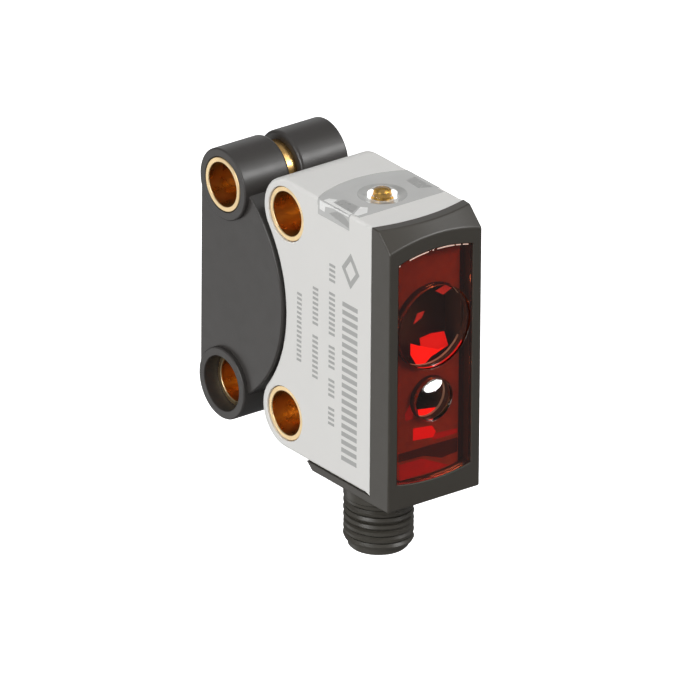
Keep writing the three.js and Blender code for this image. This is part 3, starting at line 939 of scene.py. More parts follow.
# --------------------------------------------------------------------------- front frame
@dataclass
class FrontFrame:
    """The black moulding: the bezel round the window and the base plate under the case."""

    parting: float = PARTING
    end_slope: float = 0.6
    side: float = 0.74
    slope_depth: float = 1.4
    slope_height: float = 1.35
    crown: float = 0.43
    edge: float = 0.11
    seam_edge: float = 0.02
    pane_low: float = 2.0
    pane_below_top: float = 2.35
    pane_rise: float = 0.5
    pane_sag: float = 0.37
    fit: float = 0.04

    def __post_init__(self) -> None:
        """Takes the moulding's size from the frame."""
        self.span = Layout.span("front_frame")
        self.base_top = Layout.span("housing").low.z - self.fit
        self.half = self.span.high.x

    def side_view(self, x: float) -> list[Point]:
        """Returns the L-shaped side view where it crosses x, with the crowned slope."""
        back, top = self.span.high.y, self.span.high.z
        long = math.hypot(self.slope_depth, self.slope_height)
        radius = (self.half**2 + self.crown**2) / (2 * self.crown)
        proud = self.crown - radius + math.sqrt(radius**2 - x**2)
        low = top - self.slope_height + proud * long / self.slope_depth
        far = self.slope_depth - proud * long / self.slope_height
        corners = [
            (0.0, 0.0), (back - self.end_slope, 0.0), (back, self.base_top),
            (self.parting, self.base_top), (self.parting, top), (far, top), (0.0, low),
        ]
        return softened(corners, [self.edge * 1.5, 0.06, 0.0, 0.0, 0.0, 0.10, 0.14])

    def moulding(self) -> "Blank":
        """Returns the solid moulding, rounded along its outer edges."""
        widths = [self.edge] * len(self.side_view(0.0))
        # The three corners that touch the case stay nearly sharp.
        widths[10:13] = [self.seam_edge] * 3
        layers = []
        rounds, across = 5, 40
        for k in range(rounds):
            angle = math.pi / 2 * (1 - k / rounds)
            level = self.half - self.edge * (1 - math.sin(angle))
            drawn = [width * (1 - math.cos(angle)) for width in widths]
            points = inset(self.side_view(level), drawn)
            layers.append([(y, z, level) for y, z in points])
        flat = self.half - self.edge
        middle = [flat - 2 * flat * i / across for i in range(across + 1)]
        spans = [[(y, z, x) for y, z in self.side_view(x)] for x in middle]
        mirrored = [[(y, z, -x) for y, z, x in layer] for layer in reversed(layers)]
        return Blank.loft(Axis.X, [*layers, *spans, *mirrored])

    def window(self, gap: float) -> list[Point]:
        """Returns the window's outline, drawn in by gap."""
        half = self.half - self.side - gap
        low = bow(half, -self.pane_sag, self.pane_low + gap)
        high = bow(half, self.pane_rise, self.span.high.z - self.pane_below_top - gap)
        return [*low, *reversed(high)]

    def build(self, case: Housing) -> None:
        """Shapes and places the moulding.

        Args:
            case: the case, whose roof runs into the moulding's top.
        """
        top = self.span.high.z
        ledge = Layout.span("front_window").high.y + self.fit
        opening = self.window(0.0)
        lip = case.lip(self.parting + PAST, self.half + PAST)
        shell = self.moulding()
        shell.cut(
            Blank.flared(Axis.Y, opening, 0.0, ledge, 0.05),
            Blank.prism(Axis.Y, opening, ledge - 0.1, self.parting + PAST),
            Blank.prism(Axis.Z, lip, top - case.roof, top + PAST),
            Plug.hole(-PAST, PAST),
        )
        shell.smooth()
        Piece("front_bezel", Body.SENSOR, "frame_black", ("front_frame",)).place(
            shell.mesh, Finishes.frame_pa
        )


# ---------------------------------------------------------------------------- front optics
@dataclass(frozen=True)
class Facet:
    """A flat behind the window that paints light or shade, as an outline on a plane across Y."""

    name: str
    node: str
    plane: float
    finish: Finish
    outline: tuple[Point, ...]


@dataclass
class FrontOptics:
    """The red window with its two clear lenses, and what shows behind them."""

    seam: float = 0.03
    large_radius: float = 3.1
    small_radius: float = 1.58
    rim: float = 0.05
    lens_gap: float = 0.04
    large_crown: float = 0.18
    small_crown: float = 0.134
    lens_depth: float = 0.26
    face: float = 0.95
    plate: float = 0.2
    plate_gap: float = 0.08
    hood_lap: float = 0.05
    plate_end: float = 2.62
    well_back: float = 3.0
    well_half: float = 2.98
    well_drop: float = 3.6
    well_rise: float = 3.0
    back: float = 4.8
    # The painted highlight's width, and the runs along the window's top arc where it shows.
    highlight_width: float = 0.075
    highlight_runs: tuple[tuple[float, float], ...] = (
        (-3.22, -3.06), (-2.30, -0.62), (-0.32, -0.18), (0.10, 1.60), (1.72, 2.15), (2.30, 2.85),
    )

    # Painted red glows, and one patch of painted shade (lower_shade), seen through the window.
    facets = (
        Facet("receiver_facet", "receiver_prism", 1.50, Finishes.painted_red_glow, (
            (-1.01, 11.74), (-0.29, 11.39), (2.13, 10.82), (0.70, 10.35), (-0.05, 9.76),
            (-0.49, 10.01), (-1.00, 10.91),
        )),
        Facet("receiver_facet_upper", "", 1.47, Finishes.painted_deep_red_glow, (
            (-0.27, 11.96), (0.66, 12.09), (1.75, 11.95), (2.10, 10.84), (1.20, 10.76),
            (-0.21, 11.37),
        )),
        Facet("receiver_glow_top", "", 1.20, Finishes.painted_dull_red_glow, (
            (0.86, 15.28), (1.69, 15.50), (2.22, 15.16), (1.48, 14.86),
        )),
        Facet("receiver_glow_side", "", 1.60, Finishes.painted_dull_red_glow, (
            (-0.67, 13.07), (-0.35, 13.75), (0.20, 13.79), (-0.02, 13.38),
        )),
        Facet("emitter_facet", "", 1.17, Finishes.painted_red_glow, (
            (-0.60, 6.66), (1.59, 6.33), (1.72, 5.95), (0.98, 5.66), (-0.50, 6.12),
        )),
        Facet("emitter_glow", "", 0.93, Finishes.painted_red_glow, (
            (-1.32, 5.57), (0.32, 5.35), (0.66, 4.83), (0.42, 4.44), (-1.33, 4.65),
        )),
        Facet("emitter_glow_streak", "", 0.94, Finishes.painted_dull_red_glow, (
            (0.33, 4.72), (2.55, 4.52), (2.55, 4.19), (0.42, 4.21),
        )),
        Facet("emitter_glow_smear", "", 0.94, Finishes.painted_dull_red_glow, (
            (-2.05, 6.88), (-1.54, 7.58), (-1.27, 7.28), (-1.35, 6.31), (-1.96, 6.32),
        )),
        Facet("lower_glow", "", 0.94, Finishes.painted_dull_red_glow, (
            (-2.50, 3.10), (-0.53, 3.05), (0.35, 2.62), (1.75, 1.95), (0.37, 1.80), (-2.48, 1.86),
        )),
        Facet("lower_shade", "", 0.94, Finishes.painted_shade_patch, (
            (-2.60, 3.95), (2.58, 3.85), (2.58, 2.75), (1.20, 2.65), (-0.40, 3.22), (-2.60, 3.32),
        )),
    )

    def __post_init__(self) -> None:
        """Takes the window and the two lenses from the frame."""
        self.pane = Layout.span("front_window")
        self.large_z = Layout.span("receiver_lens").centre.z
        self.small_z = Layout.span("emitter_lens").centre.z

    @property
    def wells(self) -> tuple[tuple[float, float], ...]:
        """Returns each lens opening's height and radius."""
        return ((self.large_z, self.large_radius), (self.small_z, self.small_radius))

    def build_window(self, frame: FrontFrame) -> None:
        """Shapes the window: a flush red pane with an opening for each lens."""
        outline = frame.window(self.seam)
        front, back = self.pane.low.y, self.pane.high.y
        pane = Blank.rounded_prism(Axis.Y, outline, front, back, [0.05] * len(outline))
        pane.cut(*(Blank.bore(Axis.Y, (0, z), r, front, back, self.rim) for z, r in self.wells))
        pane.smooth()
        window = Piece("red_window", Body.SENSOR, "window_red", ("front_window",)).place(
            pane.mesh, Finishes.red_acrylic
        )
        window.visible_shadow = False

    def build_lenses(self) -> None:
        """Turns the two clear lenses: the large one flat behind, the small one a meniscus."""
        rows = (
            ("receiver_lens", self.large_z, self.large_radius, self.large_crown, 0.0),
            ("emitter_lens", self.small_z, self.small_radius, self.small_crown, self.small_crown),
        )
        for node, z, radius, crown, hollow in rows:
            rim = radius - self.lens_gap
            front = self.pane.low.y + crown - 0.02
            back = front + self.lens_depth
            behind = dome(rim, hollow, 0.0, 20) if hollow else [(rim, 0.0), (0.0, 0.0)]
            profile = [
                *((r, front - rise) for r, rise in reversed(dome(rim, crown, 0.0, 20))),
                *((r, back - rise) for r, rise in behind),
            ]
            lens = Piece(f"{node}_clear", Body.SENSOR, "lens_clear", (node,)).place(
                Blank.turned(Axis.Y, (0, z), profile).smooth(40).mesh, Finishes.lens_pc
            )
            lens.visible_shadow = False

    def pocket(self, node: str) -> Blank:
        """Returns a pocket, open at the back, that clears an inner piece."""
        span = Layout.span(node)
        room = Vector((self.seam,) * 3)
        low, high = span.low - room, span.high + room
        return Blank.block(tuple(low), (high.x, self.back + PAST, high.z))

    def build_carrier(self, frame: FrontFrame) -> None:
        """Shapes the carrier's face plate and the black block with its two wells."""
        outline = frame.window(self.plate_gap)
        plate = Blank.prism(Axis.Y, outline, self.face, self.face + self.plate)
        plate.cut(
            *(Blank.rod(Axis.Y, (0, z), r - 0.06, 0.0, self.back) for z, r in self.wells),
            Blank.block((self.plate_end, 0.0, 0.0), (frame.half, self.back, self.pane.high.z)),
        )
        plate.smooth()
        Piece("carrier_face", Body.SENSOR, "filter_grey", ("polarising_filter",)).place(
            plate.mesh, Finishes.carrier_face
        )
        block = Blank.prism(Axis.Y, outline, self.face + self.plate + 0.01, self.back)
        small_well = self.small_radius + 0.1
        block.cut(
            Blank.block(
                (-self.well_half, self.face, self.large_z - self.well_drop),
                (self.well_half, self.well_back, self.large_z + self.well_rise),
            ),
            Blank.rod(Axis.Y, (0, self.small_z), small_well, self.face, self.well_back),
            *(self.pocket(node) for node in ("laser_diode", "laser_retainer", "photodiode")),
        )
        block.smooth()
        Piece("optics_carrier", Body.SENSOR, "optics_black", ("optics_block",)).place(
            block.mesh, Finishes.optics_black
        )
        for name, (z, radius) in zip(("receiver_hood", "emitter_hood"), self.wells):
            inner = radius - self.hood_lap
            outer = min(radius + 0.04, frame.half - frame.side - SEAM)
            front, back = self.pane.high.y + self.seam, self.face - 0.01
            profile = [(inner, front), (outer, front), (outer, back), (inner, back)]
            hood = Blank.turned(Axis.Y, (0, z), profile).smooth(40)
            Piece(name, Body.SENSOR, "optics_black").place(hood.mesh, Finishes.optics_black)

    def build_facets(self) -> None:
        """Shapes the flats behind the window: painted red glows and painted shade."""
        for facet in self.facets:
            thin = 0.05 if facet.plane > self.face else 0.008
            blank = Blank.prism(Axis.Y, facet.outline, facet.plane, facet.plane + thin)
            replaced = (facet.node,) if facet.node else ()
            Piece(facet.name, Body.SENSOR, "lens_clear", replaced).place(blank.mesh, facet.finish)

    def build_painted_highlight(self, frame: FrontFrame) -> None:
        """Lays the painted highlight: a thin glowing strip along the window's top arc, broken in
        places.
        """
        ends = self.pane.high.z - frame.pane_rise
        whole = bow(frame.half - frame.side, frame.pane_rise, ends, FINE)
        rim = bmesh.new()
        for start, end in self.highlight_runs:
            high = [(x, z) for x, z in whole if start <= x <= end]
            low = [(x, z - self.highlight_width) for x, z in high]
            strip = Blank.prism(Axis.Y, [*low, *reversed(high)], -0.015, 0.02)
            rim.from_mesh(strip.mesh)
        Piece("window_top_painted_highlight", Body.SENSOR, "window_red").place(
            Blank.from_bmesh(rim).mesh, Finishes.painted_rim_highlight
        )

    def build(self, frame: FrontFrame) -> None:
        """Builds the window and everything behind it.

        Args:
            frame: the moulding that the window sits in.
        """
        self.build_window(frame)
        self.build_lenses()
        self.build_carrier(frame)
        self.build_facets()
        self.build_painted_highlight(frame)


# ----------------------------------------------------------------------------- teach panel
@dataclass
class TeachPanel:
    """The smoked status window in the roof, with the clear button and its gold snap dome."""

    front: float = 3.95
    side_back: float = 8.35
    apex_back: float = 9.45
    tab_front: float = 4.7
    tab_back: float = 8.3
    tab_depth: float = 0.4
    well_front: float = 4.6
    well_back: float = 8.2
    well_half: float = 2.7
    notch: float = 0.3
    thickness: float = 0.55
    edge: float = 0.22
    dish_radius: float = 1.75
    dish_depth: float = 0.2
    cap: float = 1.05
    cap_rise: float = 0.36
    cap_shoulder: float = 0.3
    proud: float = 0.50
    seat_depth: float = 0.36
    eye: float = 0.54
    # The painted glint beads' radius, and their offset from the button's centre.
    bead: float = 0.25
    bead_place: Point = (0.62, -0.46)
    film: float = 0.012

    # Flats of painted shade and painted highlight: outlines on the roof, in X and Y, and on the
    # near side, in Y and Z.
    flats = (
        ("painted_shade_flats", Finishes.painted_shade_flat,
         ([(-3.55, 6.95), (-2.76, 7.07), (-2.62, 5.53), (-3.62, 4.88)],
          [(3.55, 7.17), (2.76, 7.07), (2.62, 5.53), (3.55, 5.05)]),
         ([(7.03, 20.40), (6.23, 20.82), (5.42, 20.85), (4.76, 20.55), (4.76, 20.08)],)),
        ("painted_highlight_edges", Finishes.painted_edge_highlight,
         ([(-3.90, 7.75), (-3.45, 7.75), (-3.10, 7.25), (-3.62, 7.05), (-3.68, 4.78),
           (-3.90, 4.78)],
          [(-3.70, 4.62), (-2.55, 5.35), (-2.20, 4.95), (-2.75, 4.30), (-3.55, 4.30)]),
         ([(8.10, 21.00), (8.10, 20.35), (7.55, 20.30), (7.45, 20.75), (6.60, 20.92),
           (4.78, 20.92), (4.78, 21.05)],)),
    )

    def __post_init__(self) -> None:
        """Takes the window, the button and the dome from the frame."""
        self.span = Layout.span("status_window")
        self.button = Layout.span("teach_button")
        self.snap = Layout.span("switch_dome")
        self.half = self.span.high.x
        self.top = self.span.high.z
        self.under = self.top - self.thickness
        self.centre = (self.button.centre.x, self.button.centre.y)

    def outline(self, gap: float) -> list[Point]:
        """Returns the window in plan, drawn in by gap, past the sides if gap is nought."""
        side = self.half if gap else self.half + PAST
        rear = bow(self.half, self.apex_back - self.side_back, self.side_back - gap)
        inner, step = self.half - self.notch - gap, self.tab_front + gap
        right, left = ([] if gap else [(x, self.side_back)] for x in (side, -side))
        return [
            (-inner, self.front + gap), (inner, self.front + gap), (inner, step), (side, step),
            *right, *reversed(rear), *left, (-side, step), (-inner, step),
        ]

    def tabs(self, gap: float) -> list[Blank]:
        """Returns the two side tabs, drawn in by gap."""
        inner = self.half - self.tab_depth + gap
        outer = self.half if gap else self.half + PAST
        top = self.top if gap else self.top + PAST
        low = self.span.low.z - 0.04 + gap
        front, back = self.tab_front + gap, self.tab_back - gap
        return [
            Blank.block((inner, front, low), (outer, back, top)),
            Blank.block((-outer, front, low), (-inner, back, top)),
        ]

    def seat_cutters(self) -> list[Blank]:
        """Returns what is cut from the case to seat the window and let its light through."""
        return [
            Blank.prism(Axis.Z, self.outline(0.0), self.under, self.top + PAST),
            *self.tabs(0.0),
            Blank.block(
                (-self.well_half, self.well_front, self.under - 2.0),
                (self.well_half, self.well_back, self.top),
            ),
        ]

    def build_window(self) -> None:
        """Shapes the smoked window, with its dish and the button's hole."""
        gap = SEAM / 2
        outline = self.outline(gap)
        pane = Blank.rounded_prism(
            Axis.Z, outline, self.under + gap, self.top, [0.03] * len(outline), 2
        )
        pane.join(*self.tabs(gap))
        half, above = self.half, self.top + PAST
        corners = [(-half, 0.0), (half, 0.0), (half, self.top), (-half, self.top)]
        limit = softened(corners, [0.0, 0.0, self.edge, self.edge])
        pane.keep(Blank.prism(Axis.Y, limit, 0.0, self.apex_back + PAST))
        dish = [(r, self.top - h) for r, h in dome(self.dish_radius, self.dish_depth, 0.0)]
        pane.cut(
            Blank.turned(
                Axis.Z, self.centre, [*reversed(dish), (self.dish_radius, above), (0, above)]
            ),
            Blank.rod(Axis.Z, self.centre, self.cap + 0.03, self.under - PAST, above),
        )
        pane.smooth()
        Piece("smoked_window", Body.SENSOR, "pane_smoke", ("status_window",)).place(
            pane.mesh, Finishes.smoke_pc
        )

    def build_shades(self) -> None:
        """Lays the flats of painted shade and painted highlight on the roof window, and the ring
        round the button.
        """
        thin = self.film
        side_x = self.half - 0.01
        for name, finish, tops, sides in self.flats:
            shades = bmesh.new()
            for top in tops:
                shades.from_mesh(Blank.prism(Axis.Z, top, self.top - thin, self.top + thin).mesh)
            for side in sides:
                blank = Blank.prism(Axis.X, side, -side_x - thin, -side_x + thin)
                shades.from_mesh(blank.mesh)
            Piece(name, Body.SENSOR, "pane_smoke").place(Blank.from_bmesh(shades).mesh, finish)
        skin = [
            (r, self.top - h + 0.006) for r, h in dome(self.dish_radius, self.dish_depth, 0.0, 30)
            if r > self.cap + 0.05
        ]
        inner, outer = skin[-1][0], skin[0][0]
        profile = [*skin, (inner, self.top - 0.3), (outer, self.top - 0.3)]
        ring = Blank.turned(Axis.Z, self.centre, profile).smooth(30)
        Piece("button_dish", Body.SENSOR, "pane_smoke").place(ring.mesh, Finishes.smoke_dish)

    def build_button(self) -> None:
        """Shapes the clear button, with the gold contact and the seat that show through it."""
        low, cap = self.button.low.z, self.cap
        flange = self.button.size.x / 2
        shoulder = self.button.high.z + self.proud - self.cap_shoulder
        profile = [
            (0.0, low), (0.4, low), (0.45, low + 0.05), (0.45, low + 0.1), (flange, low + 0.1),
            (flange, low + 0.3), (cap, low + 0.3), (cap, shoulder - 0.04),
            *dome(cap - 0.02, self.cap_rise, shoulder, 20),
        ]
        button = Piece("button_cap", Body.BUTTON, "button_clear", ("teach_button",)).place(
            Blank.turned(Axis.Z, self.centre, profile).smooth().mesh, Finishes.clear_pc
        )
        button.visible_shadow = False
        seat, plate = shoulder - self.seat_depth, cap - 0.05
        parts = (
            ("button_gold_eye", "gold_contact", Finishes.gold,
             [(0.0, seat), (self.eye, seat), *dome(self.eye, 0.24, seat + 0.30)]),
            ("button_seat", "button_clear", Finishes.button_pc,
             [(0.0, seat - 0.1), (plate, seat - 0.1), (plate, seat - 0.01), (0.0, seat - 0.01)]),
        )
        for name, slot, finish, outline in parts:
            blank = Blank.turned(Axis.Z, self.centre, outline, SMALL).smooth(50)
            Piece(name, Body.BUTTON, slot).place(blank.mesh, finish)
        # Two glowing beads paint the white glints beside the gold contact.
        beads = bmesh.new()
        bead = [(0.0, seat), (self.bead, seat), *dome(self.bead, 0.16, seat + 0.28)]
        across, along = self.bead_place
        for sign in (-1, 1):
            place = (self.centre[0] + sign * across, self.centre[1] + sign * along)
            beads.from_mesh(Blank.turned(Axis.Z, place, bead, SMALL).mesh)
        Piece("button_painted_glints", Body.BUTTON, "button_clear").place(
            Blank.from_bmesh(beads).smooth().mesh, Finishes.painted_glint_bead
        )

    def build_snap_dome(self) -> None:
        """Shapes the gold snap dome under the button."""
        low, high = self.snap.low.z, self.snap.high.z
        radius = self.snap.size.x / 2
        centre = (self.snap.centre.x, self.snap.centre.y)
        profile = [(0.0, low), (radius, low), *dome(radius, high - low - 0.03, low + 0.03)]
        blank = Blank.turned(Axis.Z, centre, profile, SMALL).smooth()
        Piece("gold_snap_dome", Body.SENSOR, "gold_contact", ("switch_dome",)).place(
            blank.mesh, Finishes.gold
        )

    def build(self) -> None:
        """Builds the window, the button and the dome."""
        self.build_window()
        self.build_shades()
        self.build_button()
        self.build_snap_dome()


# --------------------------------------------------------------------------------- sleeves
@dataclass
class Sleeves:
    """The brass sleeves that the screws pass through."""

    thickness: float = 0.4
    chamfer: float = 0.07
    proud: float = 0.13

    def build(self) -> None:
        """Turns each sleeve, chamfered inside and out at both ends."""
        rows = (
            ("upper_sleeve", Body.SENSOR), ("lower_sleeve", Body.SENSOR),
            ("adapter_upper_sleeve", Body.ADAPTER), ("adapter_lower_sleeve", Body.ADAPTER),
        )
        for node, body in rows:
            span = Layout.span(node)
            outer = span.size.z / 2
            inner = outer - self.thickness
            proud = self.proud if body is Body.SENSOR else 0.0
            low, high, cut = span.low.x - proud, span.high.x + proud, self.chamfer
            profile = [
                (inner, low + cut), (inner + cut, low), (outer - cut, low), (outer, low + cut),
                (outer, high - cut), (outer - cut, high), (inner + cut, high), (inner, high - cut),
            ]
            centre = (span.centre.y, span.centre.z)
            tube = Blank.turned(Axis.X, centre, profile).smooth(50)
            name = f"{node}_brass"
            Piece(name, body, "sleeve_brass", (node,)).place(tube.mesh, Finishes.brass)


# --------------------------------------------------------------------------------- adapter
@dataclass
class Adapter:
    """The black adapter: a plate that nests in the saddle, and two cross barrels."""

    plate_half: float = 4.18
    nose_gap: float = 0.12
    nose_ease: float = 0.5
    groove: float = 1.0
    edge: float = 0.12
    groove_edge: float = 0.28

    def __post_init__(self) -> None:
        """Takes the barrels and the plate from the frame."""
        self.span = Layout.span("adapter_body")
        self.upper = Layout.span("adapter_upper_sleeve")
        self.lower = Layout.span("adapter_lower_sleeve")
        self.y = self.upper.centre.y
        self.bore = self.upper.size.z / 2
        self.barrel = self.span.high.z - self.upper.centre.z

    def plate(self, case: Housing) -> Blank:
        """Returns the plate with its round nose."""
        low, high = self.lower.centre.z, self.upper.centre.z
        half = (high - low) / 2
        saddle = (half**2 - case.boss_radius**2) / (2 * case.boss_radius)
        radius = saddle - self.nose_ease
        centre = case.hole_y + self.nose_gap + radius
        lean = math.degrees(math.asin(half / radius))
        outline = [
            (self.span.high.y, low), (self.span.high.y, high),
            *arc((centre, (low + high) / 2), radius, 180 - lean, 180 + lean, 96),
        ]
        widths = [self.edge] * len(outline)
        return Blank.rounded_prism(Axis.X, outline, -self.plate_half, self.plate_half, widths)

    def barrel_rod(self, z: float) -> Blank:
        """Returns one cross barrel, its end faces' edges rounded."""
        half, edge = self.span.high.x, self.edge
        mouths = [
            [(self.barrel - reach, along) for reach, along in flare(0.0, side * half, edge, side)]
            for side in (-1, 1)
        ]
        profile = [(0.0, -half), *reversed(mouths[0]), *mouths[1], (0.0, half)]
        return Blank.turned(Axis.X, (self.y, z), profile)

    def groove_ring(self, z: float) -> Blank:
        """Returns the cutter of the groove round one barrel, with full lips."""
        side, lip = self.groove / 2, self.groove_edge
        right = []
        steps = 6
        for k in range(steps + 1):
            angle = math.pi / 2 * k / steps
            right.append((
                self.barrel - lip + lip * math.sin(angle), side + lip - lip * math.cos(angle)
            ))
        outer = self.barrel + 0.5
        left = [(radius, -along) for radius, along in reversed(right)]
        profile = [
            (self.bore - 0.1, side), *right, (outer, side + lip), (outer, -side - lip), *left,
            (self.bore - 0.1, -side),
        ]
        return Blank.turned(Axis.X, (self.y, z), profile)

    def build(self, case: Housing) -> None:
        """Shapes and places the adapter.

        Args:
            case: the case, whose saddle the nose follows.
        """
        half = self.span.high.x
        body = self.plate(case)
        body.join(*(self.barrel_rod(sleeve.centre.z) for sleeve in (self.upper, self.lower)))
        for sleeve in (self.upper, self.lower):
            body.cut(
                self.groove_ring(sleeve.centre.z),
                Blank.bore(Axis.X, (self.y, sleeve.centre.z), self.bore + SEAM, -half, half, 0.06),
            )
        body.smooth()
        Piece("saddle_adapter", Body.ADAPTER, "adapter_black", ("adapter_body",)).place(
            body.mesh, Finishes.adapter_pa
        )


# ------------------------------------------------------------------------------------ plug
@dataclass
class Plug:
    """The threaded plug under the base, hollow so that the contacts stand inside it."""

    collar: float = 1.8
    thread: float = 3.4
    pitch: float = 0.5
    depth: float = 0.3
    tip_step: float = 0.35
    wall: float = 0.35
    tip: float = 0.5
    flange: float = 0.3
    seat: float = 1.8

    def __post_init__(self) -> None:
        """Takes the plug's place from the frame."""
        self.span = Layout.span("connector_body")
        self.centre = (self.span.centre.x, self.span.centre.y)
        self.radius = self.span.size.x / 2 - self.flange

    @classmethod
    def hole(cls, low: float, high: float) -> Blank:
        """Returns the cutter of the hole that the plug stands in, between two heights."""
        seal = Layout.span("connector_seal")
        radius = seal.size.x / 2 - cls.flange + SEAM
        return Blank.rod(Axis.Z, (0, seal.centre.y), radius, low, high)

    def build_body(self) -> None:
        """Turns the collar, the thread's core and the tip."""
        low = self.span.low.z
        root = self.radius - self.depth
        bore = root - self.wall
        tip = self.radius - self.tip_step
        top, outer = self.span.high.z, self.radius + self.flange
        ease, nose = 0.08, 0.12
        profile = [
            (bore, low + ease), (bore + ease, low), (tip - nose, low), (tip, low + nose),
            (tip, low + self.tip), (root, low + self.tip + 0.1), (root, -self.collar),
            (self.radius - ease, -self.collar), (self.radius, -self.collar + ease),
            (self.radius, self.seat), (outer, self.seat), (outer, top), (bore, top),
        ]
        blank = Blank.turned(Axis.Z, self.centre, profile).smooth(40)
        Piece("plug_body", Body.SENSOR, "plug_black", ("connector_body",)).place(
            blank.mesh, Finishes.plug_pa
        )

    def thread_tree(self) -> bpy.types.NodeTree:
        """Returns a tree that sweeps the thread's section along its helix."""
        tree = bpy.data.node_groups.new("thread_helix", "GeometryNodeTree")
        for name, value in (("Turns", 7.0), ("Core", 2.2), ("Length", 3.4), ("Crest", 0.3)):
            socket = tree.interface.new_socket(name, in_out="INPUT", socket_type="NodeSocketFloat")
            socket.default_value = value
        tree.interface.new_socket("Finish", in_out="INPUT", socket_type="NodeSocketMaterial")
        tree.interface.new_socket("Geometry", in_out="OUTPUT", socket_type="NodeSocketGeometry")
        given = add_node(tree, "NodeGroupInput").outputs
        helix = add_node(
            tree, "GeometryNodeCurveSpiral",
            {"Resolution": 72, "Rotations": given["Turns"], "Start Radius": given["Core"],
             "End Radius": given["Core"], "Height": given["Length"]},
        )
        section = add_node(
            tree, "GeometryNodeCurvePrimitiveCircle", {"Resolution": 6, "Radius": given["Crest"]},
        )
        swept = add_node(
            tree, "GeometryNodeCurveToMesh",
            {"Curve": helix.outputs[0], "Profile Curve": section.outputs[0], "Fill Caps": True},
        )
        solid = add_node(tree, "GeometryNodeRealizeInstances", {"Geometry": swept.outputs[0]})
        dressed = add_node(
            tree, "GeometryNodeSetMaterial",
            {"Geometry": solid.outputs[0], "Material": given["Finish"]},
        )
        add_node(tree, "NodeGroupOutput", {"Geometry": dressed.outputs[0]})
        return tree

    def build_thread(self) -> None:
        """Sweeps the thread's ridge round the core."""
        turns = math.floor(self.thread / self.pitch) + 0.6
        long = turns * self.pitch
        mesh = grown(
            self.thread_tree(),
            {"Turns": turns, "Core": self.radius - self.depth + 0.06, "Length": long,
             "Crest": 0.24, "Finish": Finishes.plug_pa.material()},
        )
        start = Vector((*self.centre, -self.collar - long - 0.02))
        mesh.transform(Matrix.Translation(start))
        blank = Blank(mesh).smooth(30)
        Piece("plug_thread", Body.SENSOR, "plug_black").place(blank.mesh, Finishes.plug_pa)

    def build(self) -> None:
        """Builds the body and its thread."""
        self.build_body()
        self.build_thread()


def grown(tree: bpy.types.NodeTree, values: dict[str, object]) -> bpy.types.Mesh:
    """Runs a Geometry Nodes tree and keeps what it makes as a plain mesh.

    Args:
        tree: the tree.
        values: a value for each of its named inputs.

    Returns:
        The mesh, in the units that the values are in.
    """
    holder = bpy.data.objects.new("holder", bpy.data.meshes.new("holder"))
    bpy.context.scene.collection.objects.link(holder)
    modifier = holder.modifiers.new("grow", "NODES")
    modifier.node_group = tree
    for item in tree.interface.items_tree:
        if item.item_type == "SOCKET" and item.in_out == "INPUT" and item.name in values:
            modifier[item.identifier] = values[item.name]
    bpy.context.view_layer.update()
    ready = holder.evaluated_get(bpy.context.evaluated_depsgraph_get())
    mesh = bpy.data.meshes.new_from_object(ready)
    bpy.data.objects.remove(holder)
    return mesh


